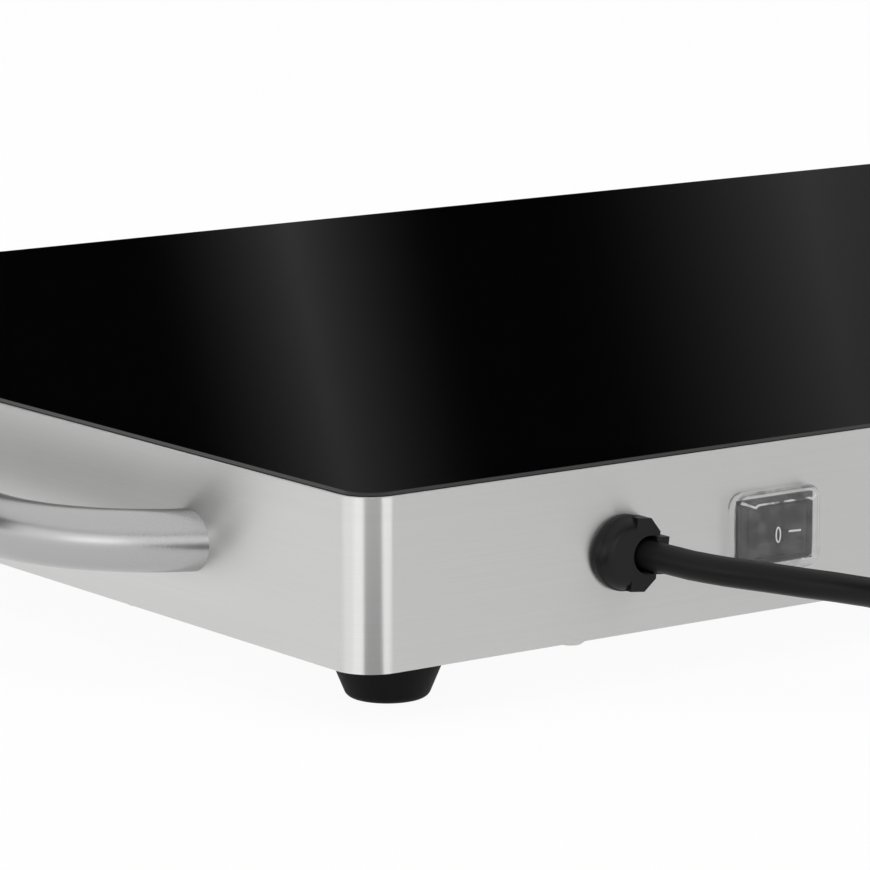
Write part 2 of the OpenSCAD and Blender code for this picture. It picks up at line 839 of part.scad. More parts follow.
module switch_housing() {
    body_w2 = bezel_w / 2 - 1;
    body_h2 = bezel_h / 2 - 1;
    face = boot_lip + bezel_t;
    edge = 0.5;
    open_w = rocker_w + 2 * 0.9;
    open_h = rocker_h + 2 * apart;
    color([0.08, 0.08, 0.08])
    on_back(switch_at)
        difference() {
            union() {
                hull() {
                    translate([-bezel_w / 2, -bezel_h / 2, boot_lip])
                        cube([bezel_w, bezel_h, bezel_t - edge]);
                    translate([-bezel_w / 2 + edge, -bezel_h / 2 + edge, boot_lip])
                        cube([bezel_w - 2 * edge, bezel_h - 2 * edge, bezel_t]);
                }
                translate([-body_w2, -body_h2, -switch_depth])
                    cube([2 * body_w2, 2 * body_h2, switch_depth + boot_lip + eps]);
                // sprung tongues that hold behind the wall
                for (s = [-1, 1])
                    translate([s * body_w2, 0, -wall_t - 2.2])
                        cube([1.2, 6, 4 - fit], center = true);
            }
            translate([-open_w / 2, -open_h / 2, -8])
                cube([open_w, open_h, 20]);
            translate([0, 0, pivot_out])
                rotate([90, 0, 0])
                    cylinder(d = pivot_d + 2 * running, h = 2 * bezel_h, center = true, $fn = fine);
        }
}

module switch_terminals() {
    color("goldenrod")
    on_back(switch_at)
        for (x = [-1, 1])
            translate([x * 6, 0, -switch_depth - terminal_l / 2])
                cube([0.8, 4.8, terminal_l], center = true);
}

// rest is the 0 side pressed in
module rocker() {
    h = rocker_rise;
    dip = 0.3;
    w = rocker_w / 2;
    foot_w = w - 1;
    color([0.1, 0.1, 0.1])
    on_back(switch_at)
        translate([0, 0, pivot_out])
            rotate([0, -rocker_tilt, 0]) {
                rotate([90, 0, 0])
                    linear_extrude(rocker_h, center = true)
                        polygon(concat([[foot_w, -2.4], [w, h - 0.8]],
                                       arc(w - 0.6, h - 0.6, 0.6, 0, 90, 4),
                                       [for (i = [-4:4]) [-i * w / 6, h - dip * (1 - pow(i / 5, 2))]],
                                       arc(0.6 - w, h - 0.6, 0.6, 90, 180, 4),
                                       [[-w, h - 0.8], [-foot_w, -2.4]]));
                rotate([90, 0, 0])
                    cylinder(d = pivot_d, h = bezel_h - 2 - 2 * fit, center = true, $fn = fine);
            }
}

// the clear boot over the switch
module boot_skin(grow, out) {
    w = boot_w + 2 * grow;
    h = boot_h + 2 * grow;
    rim_out = boot_rim + out;
    r = 4 + grow;
    hull() {
        linear_extrude(rim_out - 0.8)
            round_rect(w, h, r, $fn = coarse);
        linear_extrude(rim_out)
            round_rect(w - 1.2, h - 1.2, r - 0.6, $fn = coarse);
    }
    hull() {
        linear_extrude(rim_out)
            round_rect(w - 1.8, h - 1.8, r - 0.9, $fn = coarse);
        linear_extrude(boot_out + out)
            round_rect(w - 8.8, h - 5.6, 1.6 + grow / 2, $fn = coarse);
    }
}

module switch_boot() {
    color([0.85, 0.87, 0.88, 0.4])
    on_back(switch_at)
        difference() {
            boot_skin(0, 0);
            difference() {
                boot_skin(-boot_t, -boot_t);
                translate([-boot_w, -boot_h, -1])
                    cube([2 * boot_w, 2 * boot_h, 1 + boot_lip]);
            }
            translate([0, 0, -1])
                linear_extrude(2 + boot_lip)
                    square([bezel_w - 1.6, bezel_h - 1.6], center = true);
        }
}

// the thermostat, seen from the front: x right, z outwards

module thermostat_body() {
    w = thermostat_w;
    h = thermostat_h;
    color("beige")
    on_front(thermostat_at)
        difference() {
            union() {
                translate([-w / 2, -h / 2, -wall_t - thermostat_depth])
                    cube([w, h, thermostat_depth - 1]);
                translate([-w / 2 - 1, -h / 2 + 2, -wall_t - 1])
                    cube([w + 2, h - 4, 1]);
                for (x = [-1, 1])
                    translate([x * 8, -6, -wall_t - thermostat_depth - (terminal_l - eps) / 2])
                        cube([0.8, 6.3, terminal_l + eps], center = true);
                translate([0, 0, -wall_t - 1])
                    cylinder(d = bush_d, h = wall_t + 1.5, $fn = coarse);
            }
            translate([0, 0, -wall_t - 12])
                cylinder(d = shaft_d + 2 * running, h = 20, $fn = fine);
            for (x = [-1, 1])
                translate([x * thermostat_pitch / 2, 0, -wall_t - 9])
                    cylinder(d = m4 + 2 * fit, h = 20, $fn = coarse);
        }
}

module thermostat_screws() {
    color("lightgray")
    on_front(thermostat_at)
        for (x = [-1, 1])
            translate([x * thermostat_pitch / 2, 0, -wall_t - 7]) {
                cylinder(d = m4, h = wall_t + 7, $fn = coarse);
                translate([0, 0, wall_t + 7])
                    cylinder(d = 2 * m4 - 1, h = knob_gap - apart, $fn = coarse);
            }
}

module thermostat_shaft() {
    color("lightgray")
    on_front(thermostat_at)
        difference() {
            translate([0, 0, -wall_t - 11])
                cylinder(d = shaft_d, h = 11 + wall_t + knob_gap + 11, $fn = fine);
            translate([-shaft_d, shaft_d / 2 - 1.3, knob_gap + 2])
                cube([2 * shaft_d, 3, 12]);
        }
}

module thermostat_knob() {
    r = knob_d / 2;
    skirt = 4;
    grip_w = 9;
    bore_l = 11 + fit;
    color([0.08, 0.08, 0.08])
    on_front(thermostat_at)
        translate([0, 0, knob_gap])
            difference() {
                union() {
                    rotate_extrude($fn = fine)
                        polygon(concat([[0, 0], [r, 0]], arc(r - 1, skirt - 1, 1, 0, 80, 4),
                                       [[r - 4, skirt + 0.6], [0, skirt + 0.6]]));
                    intersection() {
                        rotate_extrude($fn = fine)
                            polygon(concat([[0, 0], [r - 2, 0], [r - 2, skirt]],
                                           arc(r - 5, knob_l - 2, 2, 0, 90, 5),
                                           [[0, knob_l]]));
                        translate([-grip_w / 2, -r, 0])
                            cube([grip_w, 2 * r, knob_l + 1]);
                    }
                    cylinder(r = 8, h = knob_l - 5, $fn = fine);
                }
                difference() {
                    translate([0, 0, -1])
                        cylinder(d = shaft_d + 2 * fit, h = bore_l + 1, $fn = coarse);
                    translate([-shaft_d, shaft_d / 2 - 1.3 + fit, 2])
                        cube([2 * shaft_d, 3, 20]);
                }
                // the hollow under the skirt, round the bore's boss
                difference() {
                    translate([0, 0, -1])
                        cylinder(r = r - 1.5, h = 1 + skirt - 2, $fn = fine);
                    translate([0, 0, -2])
                        cylinder(r = 5, h = 20, $fn = coarse);
                }
            }
}

module sensor_bulb() {
    color("goldenrod")
    translate(bulb_at)
        rotate([0, 90, 0])
            cylinder(d = bulb_d, h = bulb_l, $fn = coarse);
}

module capillary_tube() {
    pan_y = mid_y - pan_d / 2;
    color("goldenrod")
    tube(concat([bulb_at + [bulb_l, 0, 0]],
                bezier(bulb_at + [bulb_l + 1, 0, 0], [6, 0, -1.4],
                       [capillary_x, pan_y + 4, capillary_z], [0, 12, 0], 8),
                through_web(capillary_x, [capillary_x, pan_y - 2, capillary_z],
                            thermostat_at + [9, wall_t + thermostat_depth, 10])),
         0.8, core_n);
}

module lamp_body() {
    color("ivory")
    on_front(lamp_at)
        difference() {
            union() {
                translate([0, 0, -wall_t - 18])
                    cylinder(d = lamp_d - 2.2, h = 18 + wall_t, $fn = coarse);
                // the clip behind the wall
                translate([0, 0, -wall_t - 3])
                    cylinder(d = lamp_d + 1, h = 3, $fn = coarse);
                for (x = [-1, 1])
                    translate([x * 2.5, 0, -wall_t - 18 - (6 - eps) / 2])
                        cube([0.8, 2.8, 6 + eps], center = true);
            }
            translate([0, 0, -wall_t - 8])
                cylinder(d = 7, h = 20, $fn = coarse);
        }
}

module lamp_lens() {
    r = lamp_d / 2;
    color([0.9, 0.5, 0.1])
    on_front(lamp_at)
        rotate_extrude($fn = fine)
            polygon(concat([[0, 0], [r, 0], [r, 1]], arc(0, 1, r - 1, 0, 90, 8)));
}

// wiring

module terminal_block() {
    color("whitesmoke")
    translate(block_at)
        difference() {
            translate([-block_size[0] / 2, -block_size[1] / 2, 0])
                cube(block_size);
            for (y = [-1, 1])
                translate([0, y * block_pole, block_bore])
                    cylinder(d = block_screw_d, h = block_size[2], $fn = coarse);
        }
}

module terminal_screws() {
    color("goldenrod")
    for (y = [-1, 1])
        translate(block_at + [0, y * block_pole, block_bore])
            difference() {
                cylinder(d = block_screw_d - 2 * fit, h = 6, $fn = coarse);
                translate([0, 0, 6])
                    cube([6, 0.8, 2], center = true);
            }
}

module thermal_cutout() {
    color([0.15, 0.12, 0.1])
    translate(cutout_at) {
        translate([0, 0, -1])
            cylinder(d = 18, h = 1, $fn = coarse);
        translate([0, 0, -9])
            cylinder(d = 16, h = 8 + eps, $fn = coarse);
        for (x = [-1, 1])
            translate([x * 8.5, 0, -7])
                cube([9, 5, 0.8], center = true);
    }
}

module earth_stud() {
    color("lightgray")
    translate([earth_at[0], earth_at[1], wall_z0]) {
        pan_screw(m4, 14);
        translate([0, 0, base_t]) {
            cylinder(d = 8.1, h = 3.2, $fn = 6);
            translate([0, 0, 4.4])
                cylinder(d = 8.1, h = 3.2, $fn = 6);
            translate([0, 0, 3.2])
                cylinder(d = 9, h = 1.2, $fn = coarse);
        }
    }
}

module harness_sleeve() {
    color([0.2, 0.2, 0.2])
    translate([sleeve_at[0], sleeve_y1, sleeve_at[1]])
        rotate([90, 0, 0])
            cylinder(d = sleeve_d, h = sleeve_y1 - sleeve_y0, $fn = coarse);
}

module harness_grommets() {
    hole_r = sleeve_d / 2 + 2;
    groove = (rail_t + fit) / 2;
    color([0.05, 0.05, 0.05])
    for (s = [-1, 1])
        translate([sleeve_at[0], mid_y + s * (rail_out - rail_t / 2), sleeve_at[1]])
            rotate([90, 0, 0])
                rotate_extrude($fn = coarse)
                    polygon([[sleeve_d / 2 + fit, -2.5], [hole_r + 1.5, -2.5],
                             [hole_r + 1.5, -groove], [hole_r - fit, -groove],
                             [hole_r - fit, groove], [hole_r + 1.5, groove],
                             [hole_r + 1.5, 2.5], [sleeve_d / 2 + fit, 2.5]]);
}

// a wire between two ends that it leaves along the unit vectors ua and ub, with a straight
// millimetre at each so that it meets them squarely; ka and kb steer it
function wire(a, ua, b, ub, ka, kb) =
    concat([a, a + ua / 2],
           bezier(a + ua, is_undef(ka) ? 8 * ua : ka, b + ub, is_undef(kb) ? 8 * ub : kb, 10),
           [b + ub / 2, b]);

// the rest of a wire that starts at a, goes towards -Y through a hole in the front rail's web
// and ends at b, where it arrives along -Y
function through_web(x, a, b) =
    let (hole = [x, mid_y - rail_out + rail_t / 2, web_hole_z])
    concat(bezier(a, [0, -4, 0], hole + [0, 3, 0], [0, 4, 0], 5),
           bezier(hole - [0, 3, 0], [0, -4, 0], b + [0, 1, 0], [0, 4, 0], 6), [b + [0, 0.5, 0], b]);

// where the three cores leave the sheath, and the places that the wires go to
function lead_point(back) =
    gland_at + [-(lead_in - back * sin(lead_tilt)) * cos(gland_roll),
                gland_head - back * cos(lead_tilt),
                -(lead_in - back * sin(lead_tilt)) * sin(gland_roll)];
function core(s, up) = tail_end + 1.8 * s * core_side + 1.8 * up * cross(core_side, lead_dir);
function switch_tab(s) = switch_at + [-s * 6, -switch_depth - terminal_l, 0];
function block_hole(y, s) =
    block_at + [s * block_size[0] / 2, y * block_pole, block_bore];
function thermostat_tab(s, up) =
    thermostat_at + [s * 8, wall_t + thermostat_depth + terminal_l, up - 6];
function lamp_pin(s) = lamp_at + [s * 2.5, wall_t + 18 + 6, 0];
function cutout_tab(s) = cutout_at + [s * 13, 0, -7];
function sleeve_end(s, x) = [sleeve_at[0] + x, s > 0 ? sleeve_y1 : sleeve_y0, sleeve_at[1]];

module live_wires() {
    color("saddlebrown") {
        // lead to switch
        tube(wire(core(-1, 0.5), -lead_dir, switch_tab(-1), forwards), core_r, core_n);
        // switch to sleeve, over the terminal block
        tube(wire(switch_tab(1), forwards, sleeve_end(1, 1.5), rearwards, [0, -5, 0], [0, 9, 7]),
             core_r, core_n);
        // sleeve to thermostat
        tube(wire(sleeve_end(-1, 1.5), forwards, thermostat_tab(-1, -1.8), rearwards,
                  [0, -5, -3], [0, 5, 0]), core_r, core_n);
        // thermostat to pilot lamp
        tube(wire(thermostat_tab(-1, 1.8), rearwards, lamp_pin(1), rearwards,
                  [0, 5, 0], [0, 5, 0]), core_r, core_n);
    }
}

module neutral_wires() {
    color("steelblue") {
        // lead to terminal block
        tube(wire(core(0, -1), -lead_dir, block_hole(1, 1), [1, 0, 0], -10 * lead_dir, [30, 0, 0]),
             core_r, core_n);
        // terminal block to sleeve
        tube(wire(block_hole(1, -1), [-1, 0, 0], sleeve_end(1, -1.5), rearwards, [-16, 0, 0],
                  [0, 9, -6]),
             core_r, core_n);
        // sleeve to pilot lamp
        tube(wire(sleeve_end(-1, -1.5), forwards, lamp_pin(-1), rearwards, [0, -11, 2], [0, 6, 0]),
             core_r, core_n);
    }
}

module earth_wire() {
    color("yellowgreen")
    tube(wire(core(1, 0.5), -lead_dir, earth_at + [0, 4.6, 3.8], rearwards), core_r, core_n);
}

// from the thermostat over the cutout to the heating cord, and from its other end to the block
module heater_leads() {
    run_end = heater_run / 2;
    pan_y = pan_d / 2;
    color("indianred") {
        // thermostat to cutout
        tube(concat([cutout_tab(-1)],
                    bezier(cutout_tab(-1) - [1, 0, 0], [-8, 0, 0],
                           [cutout_wire_x, mid_y - rail_in - 3, web_hole_z], [0, 14, 0], 6),
                    through_web(cutout_wire_x, [cutout_wire_x, mid_y - rail_in - 5, web_hole_z],
                                thermostat_tab(1, 0))), core_r, core_n);
        // cutout to the heating cord's front end
        tube(concat([[run_end, heater_y0, heater_z]],
                    bezier([run_end + 1, heater_y0, heater_z], [9, 0, 0],
                           [heater_exit[0], mid_y - pan_y + 3, heater_exit[1]], [0, 5, 0], 7),
                    bezier([heater_exit[0], mid_y - pan_y - 3, heater_exit[1]], [0, -10, -12],
                           cutout_tab(1) + [1, 0, 0], [30, -5, -2], 14),
                    [cutout_tab(1)]), core_r, core_n);
        // the heating cord's rear end to the terminal block
        tube(concat([[run_end, mid_y * 2 - heater_y0, heater_z]],
                    bezier([run_end + 1, mid_y * 2 - heater_y0, heater_z], [9, 0, 0],
                           [heater_exit[0], mid_y + pan_y - 3, heater_exit[1]], [0, -5, 0], 7),
                    bezier([heater_exit[0], mid_y + pan_y + 3, heater_exit[1]], [0, 4, 0],
                           [heater_exit[0], mid_y + rail_out - 4, web_hole_z], [0, -4, 0], 4),
                    bezier([heater_exit[0], mid_y + rail_out + 2, web_hole_z], [0, 8, -8],
                           block_hole(-1, 1) + [1, 0, 0], [70, 0, -3], 14),
                    [block_hole(-1, 1)]), core_r, core_n);
    }
}

// the mains lead outside: points in order from the bushing, chosen by hand

lead_points = concat(
    [lead_point(lead_back), lead_mouth],
    [for (p = [[-1.5, 8.3, -0.4], [-2.8, 12.8, -0.8], [-4.6, 16.9, -1.1], [-7, 21, -1.5],
               [-10.5, 25.4, -2], [-14.8, 29.3, -2.7], [-21.5, 33.6, -4], [-29.4, 36.5, -5.6],
               [-39, 37.8, -7.9], [-51.5, 38, -11.8], [-64, 38, -16.2], [-77, 38, -19.9]])
     lead_mouth + p],
    [coil_in + [8, 0, 0], coil_in]);

plug_points = [for (p = [[0, 0, 0], [-8, 0, 0], [-22, 0, 1.2], [-36, 0, 5], [-50, 0, 9.6],
                         [-62, 0, 12.8], [-76, 0, plug_r - coil_low],
                         [-84, 0, plug_r - coil_low]]) coil_out + p];

// the coil runs in along the upper layer and out along the lower one
function coil_radius(s) = coil_r - coil_pitch * min(s, coil_turns - s);
function ease(t) = t * t * (3 - 2 * t);
function coil_height(s) =
    let (t = min(max((s - coil_turns / 2 + 0.25) * 2, 0), 1))
    coil_high + (coil_low - coil_high) * ease(t);
coil_points = concat(
    [coil_in],
    [for (i = [0:coil_turns * rings_a_turn])
     let (s = i / rings_a_turn, a = -90 - 360 * s)
     [coil_centre[0] + coil_radius(s) * cos(a), coil_centre[1] + coil_radius(s) * sin(a),
      coil_height(s)]],
    [coil_out]);

// the least distance between two stretches of the coil, less the lead's own thickness
coil_space = min([for (i = [0:len(coil_points) - 1], j = [i + rings_a_turn / 2:len(coil_points) - 1])
                  norm(coil_points[i] - coil_points[j])]) - lead_d;
function run(p) = [for (i = 1, l = norm(p[1] - p[0]); i < len(p); i = i + 1,
                        l = i < len(p) ? l + norm(p[i] - p[i - 1]) : l) l][len(p) - 2];
echo(coil_space = coil_space, lead_length = run(lead_points) + run(coil_points) + run(plug_points));

module mains_lead() {
    color([0.06, 0.06, 0.06])
    tube(lead_points, lead_r, 12);
}

module lead_coil() {
    color([0.06, 0.06, 0.06])
    tube(coil_points, lead_r, 6);
}

module plug_lead() {
    color([0.06, 0.06, 0.06])
    tube(plug_points, lead_r, 12);
}

// a flat strap round the turns
module lead_tie() {
    outer = coil_radius(0.25) + lead_r + 0.6;
    inner = coil_radius(coil_turns / 2 - 0.25) - lead_r - 0.6;
    h = coil_high - coil_low + lead_d + 2 * fit;
    w = outer - inner;
    color([0.15, 0.15, 0.15])
    translate([coil_centre[0] - (outer + inner) / 2, coil_centre[1], tie_t + h / 2])
        rotate([90, 0, 0])
            linear_extrude(10, center = true)
                difference() {
                    round_rect(w + 2 * tie_t, h + 2 * tie_t, 2 + tie_t);
                    round_rect(w, h, 2);
                }
}

// the plug lies on its side with its pins towards -X
module plug_body() {
    r = plug_r;
    sleeve_l = 18;
    face = plug_l;
    color([0.07, 0.07, 0.07])
    translate(plug_at)
        rotate([0, -90, 0])
            difference() {
                rotate_extrude($fn = fine)
                    polygon(concat([[0, 0], [5, 0], [6.6, sleeve_l], [9, sleeve_l]],
                                   arc(9, sleeve_l + 4, 4, -80, -10, 4),
                                   [[15, face - 17]], arc(r - 3, face - 13, 3, -60, 0, 4),
                                   arc(r - 1, face - 1, 1, 0, 90, 4), [[0, face]]));
                // the recess for the sleeve's bore
                for (s = [0, 1])
                    rotate([0, 0, 180 * s])
                        translate([r - 2, -3, face - 14])
                            cube([4, 6, 15]);
                // the earth pin's hole
                translate([0, 0, face - 14])
                    translate([10, 0, 0])
                        cylinder(d = 5, h = 15, $fn = coarse);
                for (i = [0:3])
                    translate([0, 0, 3.4 + 3.6 * i])
                        difference() {
                            cylinder(r = 10, h = 1.2, $fn = coarse);
                            translate([0, 0, -1])
                                cylinder(r = 4.4, h = 4, $fn = coarse);
                        }
            }
}

module plug_pins() {
    face = plug_l;
    pin_d = 4.8;
    color("silver")
    translate(plug_at)
        rotate([0, -90, 0]) {
            for (s = [-1, 1])
                translate([0, s * 9.5, face])
                    cylinder(d = pin_d, h = 18, $fn = coarse);
            for (s = [-1, 1])
                translate([s * (plug_r - 1.4) - 0.4, -2.8, face - 13.8])
                    cube([0.8, 5.6, 13]);
        }
}

body_shell();
glass_ledge();
glass_seal();
glass_top();
heat_spreader();
heating_cord();
insulation_mat();
insulation_pan();
front_rail();
rear_rail();
rail_screws();
pan_screws();
base_plate();
base_screws();
left_handle();
right_handle();
handle_screws();
foot_front_left();
foot_front_right();
foot_rear_left();
foot_rear_right();
foot_screws();
foot_nuts();
bushing_body();
bushing_jaw();
supply_tail();
switch_housing();
switch_terminals();
switch_boot();
rocker();
thermostat_body();
thermostat_screws();
thermostat_shaft();
thermostat_knob();
sensor_bulb();
capillary_tube();
lamp_body();
lamp_lens();
terminal_block();
terminal_screws();
thermal_cutout();
earth_stud();
harness_sleeve();
harness_grommets();
live_wires();
neutral_wires();
earth_wire();
heater_leads();
mains_lead();
lead_coil();
plug_lead();
lead_tie();
plug_body();
plug_pins();
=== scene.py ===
import math

import bmesh
import bpy
from bpy.props import FloatProperty, FloatVectorProperty, PointerProperty
from mathutils import Matrix, Vector


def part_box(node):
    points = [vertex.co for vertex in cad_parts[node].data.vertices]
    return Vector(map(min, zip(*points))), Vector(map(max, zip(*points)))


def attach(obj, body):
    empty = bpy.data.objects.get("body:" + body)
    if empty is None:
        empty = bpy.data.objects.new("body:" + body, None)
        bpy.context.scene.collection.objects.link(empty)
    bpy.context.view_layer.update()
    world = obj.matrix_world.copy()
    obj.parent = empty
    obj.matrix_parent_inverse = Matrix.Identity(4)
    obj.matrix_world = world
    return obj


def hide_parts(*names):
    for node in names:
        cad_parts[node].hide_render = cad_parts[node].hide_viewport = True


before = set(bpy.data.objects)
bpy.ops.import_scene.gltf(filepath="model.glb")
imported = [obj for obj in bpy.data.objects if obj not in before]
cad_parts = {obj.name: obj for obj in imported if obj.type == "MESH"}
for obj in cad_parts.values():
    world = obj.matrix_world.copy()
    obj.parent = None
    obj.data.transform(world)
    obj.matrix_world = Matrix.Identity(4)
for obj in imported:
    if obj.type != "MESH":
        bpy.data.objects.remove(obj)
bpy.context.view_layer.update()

bl_info = {
    "name": "Electric warming tray",
    "version": (1, 0, 0),
    "blender": (4, 5, 0),
    "location": "View3D > Sidebar > Tray",
    "description": "Dresses the warming tray's frame with its lead, marks, finishes and studio",
    "category": "Object",
}

MM = 0.001

shell_low, shell_high = (Vector(corner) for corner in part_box("body_shell"))
BACK_Y = shell_high.y
FRONT_Y = shell_low.y
SIDE_X = shell_high.x
MID_Y = (BACK_Y + FRONT_Y) / 2

# turns that lay a flat form on the front wall and on the back wall, facing out
ON_FRONT = Matrix.Rotation(math.radians(90), 4, "X")
ON_BACK = Matrix.Rotation(math.radians(180), 4, "Z") @ ON_FRONT

# the camera's place, in place()'s millimetres, and the way it looks
CAMERA_AT = (968.6, 935.7, 286.2)
CAMERA_LINE = (-0.5839, -0.7911, -0.1822)

# the knob's scale, in millimetres and degrees
SCALE_TICKS = 13
TICK_STEP = 22.5
TICK_START = 17.7
FIGURE_REACH = 20.5

# the surround's strips of light: middle, spread to either side (degrees) and strength
STRIPS = ((-122.05, 2.8, 2.8, 0.066), (-131.15, 10.5, 4.6, 0.064), (126, 30, 30, 0.20))
STRIP_LEAN = 3.9  # degrees per metre of height
STRIP_LEVEL = 0.5
RING_RADIUS = 3.2
RING_GAP = 0.02
RING_BLACK = 0.0012

OVERHEAD_AT = (0.3, 0.4, 2.6)
OVERHEAD_SIZE = 3.0

# the lamps that the round corner mirrors: azimuth, width and share of the key light
CORNER_LAMPS = ((21, 1.1, 0.058), (101, 1.0, 0.145))
CORNER_LAMP_REACH = 1.9
CORNER_LAMP_LEVEL = 0.28
CORNER_LAMP_HEIGHT = 0.46


def place(x, out, up):
    """A point given as part.scad gives the lead's route: from the back wall, in millimetres."""
    return Vector((x * MM, BACK_Y + out * MM, up * MM))


# ---------------------------------------------------------------- materials

class Signal:
    """A number or colour running through a finish's nodes, used in plain expressions."""

    def __init__(self, finish, socket):
        self.finish = finish
        self.socket = socket

    def other(self, name):
        """Another output of the same node."""
        return Signal(self.finish, self.socket.node.outputs[name])

    def _math(self, operation, first, second):
        return self.finish.node("ShaderNodeMath", {"operation": operation}, {0: first, 1: second})

    def __add__(self, value):
        return self._math("ADD", self, value)

    def __radd__(self, value):
        return self._math("ADD", value, self)

    def __sub__(self, value):
        return self._math("SUBTRACT", self, value)

    def __mul__(self, value):
        return self._math("MULTIPLY", self, value)

    def __pow__(self, value):
        return self._math("POWER", self, value)

    def at_least(self, value):
        """This or the value, whichever is more."""
        return self._math("MAXIMUM", self, value)

    def at_most(self, value):
        """This or the value, whichever is less."""
        return self._math("MINIMUM", self, value)

    def size(self):
        """This without its sign."""
        return self._math("ABSOLUTE", self, 0.0)


class Finish:
    """A material, or the world, and the nodes that make it."""

    def __init__(self, owner):
        self.owner = owner
        owner.use_nodes = True
        self.tree = owner.node_tree
        self.tree.nodes.clear()

    def node(self, kind, settings, inputs, output=0):
        """A node of this kind; its settings are set first, then its sockets' values or links."""
        made = self.tree.nodes.new(kind)
        for name, value in settings.items():
            setattr(made, name, value)
        for name, value in inputs.items():
            socket = made.inputs[name]
            if isinstance(value, Signal):
                self.tree.links.new(value.socket, socket)
            else:
                socket.default_value = value
        return Signal(self, made.outputs[output])

    def spot(self, scale=(1, 1, 1), turn=(0, 0, 0)):
        """The place on the object, in metres, stretched and turned for a pattern."""
        return self.node("ShaderNodeMapping", {"vector_type": "POINT"},
                         {"Vector": self.node("ShaderNodeTexCoord", {}, {}, "Object"),
                          "Rotation": turn, "Scale": scale})

    def noise(self, spot, scale, detail, rough):
        """An even random pattern, about 0.5 in the middle."""
        return self.node("ShaderNodeTexNoise", {"noise_dimensions": "3D"},
                         {"Vector": spot, "Scale": scale, "Detail": detail, "Roughness": rough},
                         "Fac")

    def blend(self, share, first, second):
        """first where share is 0 and second where it is 1; both are colours."""
        return self.node("ShaderNodeMix", {"data_type": "RGBA", "clamp_factor": True},
                         {0: share, 6: first, 7: second}, 2)

    def span(self, value, low, high, to_low, to_high):
        """value from low..high brought to to_low..to_high."""
        return self.node("ShaderNodeMapRange", {"clamp": True},
                         {"Value": value, "From Min": low, "From Max": high,
                          "To Min": to_low, "To Max": to_high}, "Result")

    def bump(self, height, strength, distance):
        """A normal raised by the height, at most by the distance in metres."""
        return self.node("ShaderNodeBump", {},
                         {"Height": height, "Strength": strength, "Distance": distance})

    def surface(self, **inputs):
        """The closing shader; every input is named as its socket, with _ for a blank."""
        sockets = {name.replace("_", " "): value for name, value in inputs.items()}
        shader = self.node("ShaderNodeBsdfPrincipled", {}, sockets)
        self.node_output(shader)

    def node_output(self, shader):
        """Links the shader to the owner's output."""
        kind = "ShaderNodeOutputWorld" if isinstance(self.owner, bpy.types.World) else \
            "ShaderNodeOutputMaterial"
        made = self.tree.nodes.new(kind)
        self.tree.links.new(shader.socket, made.inputs["Surface"])


def new_finish(name):
    """A new material, ready for its nodes."""
    return Finish(bpy.data.materials.new(name))


def rgb(value):
    """A grey, or a colour, as a socket takes it."""
    if isinstance(value, (int, float)):
        value = (value, value, value)
    return (*value, 1.0)


def toned(tone, share):
    """A colour made darker or paler by this share."""
    return rgb([share * c for c in tone])


def brushed_steel(name, tone, rough=0.34, lines=0.12):
    """Sheet brushed along the walls: fine level lines, a little darker and lighter in turn. Its
    gloss is drawn out across the brushing and stays crisp along it."""
    finish = new_finish(name)
    streaks = finish.noise(finish.spot((14, 14, 3200)), 1.0, 4.0, 0.6)
    broad = finish.noise(finish.spot((5, 5, 500)), 1.0, 3.0, 0.5)
    cloud = finish.noise(finish.spot(), 16.0, 3.0, 0.55)
    shade = finish.span(streaks * 0.5 + broad * 0.2 + cloud * 0.3, 0.32, 0.68, 0.0, 1.0)
    finish.surface(
        Base_Color=finish.blend(shade, toned(tone, 0.93), rgb(tone)),
        Metallic=1.0,
        Roughness=rough + (streaks - 0.5) * 0.10 + (cloud - 0.5) * 0.08,
        Anisotropic=0.85,
        Anisotropic_Rotation=0.25,
        Normal=finish.bump(streaks, lines, 0.00002))
    return finish.owner


def satin_steel(name, tone):
    """Ground tube: a fine grain that runs round it, and soft clouds."""
    finish = new_finish(name)
    grain = finish.noise(finish.spot((500, 2600, 500)), 1.0, 3.0, 0.6)
    cloud = finish.noise(finish.spot(), 40.0, 3.0, 0.6)
    finish.surface(
        Base_Color=finish.blend(grain * 0.5 + cloud * 0.5, toned(tone, 0.90), rgb(tone)),
        Metallic=1.0,
        Roughness=0.29 + (grain - 0.5) * 0.10 + (cloud - 0.5) * 0.08,
        Normal=finish.bump(grain, 0.15, 0.00003))
    return finish.owner


def black_glass(name):
    """Black glass, polished; the eye finds only the faintest wiping marks on it."""
    finish = new_finish(name)
    wiping = finish.noise(finish.spot((1, 3, 1), (0, 0, 0.5)), 6.0, 3.0, 0.5)
    specks = finish.noise(finish.spot(), 900.0, 1.0, 0.5)
    finish.surface(
        Base_Color=finish.blend(finish.span(specks, 0.70, 0.78, 0.0, 1.0),
                                rgb(0.0012), rgb(0.004)),
        Roughness=finish.span(wiping, 0.3, 0.7, 0.035, 0.060),
        IOR=1.5)
    return finish.owner


def moulded(name, tone, rough=0.45, grain=1500.0, depth=0.12, level=0.5):
    """Moulded plastic or rubber with a fine even grain; level is how strongly it shines."""
    finish = new_finish(name)
    fine = finish.noise(finish.spot(), grain, 2.0, 0.5)
    cloud = finish.noise(finish.spot(), 60.0, 2.0, 0.5)
    finish.surface(
        Base_Color=finish.blend(cloud, toned(tone, 0.85), toned(tone, 1.15)),
        Roughness=rough + (fine - 0.5) * 0.12 + (cloud - 0.5) * 0.08,
        Specular_IOR_Level=level,
        Normal=finish.bump(fine, depth, 0.00005))
    return finish.owner


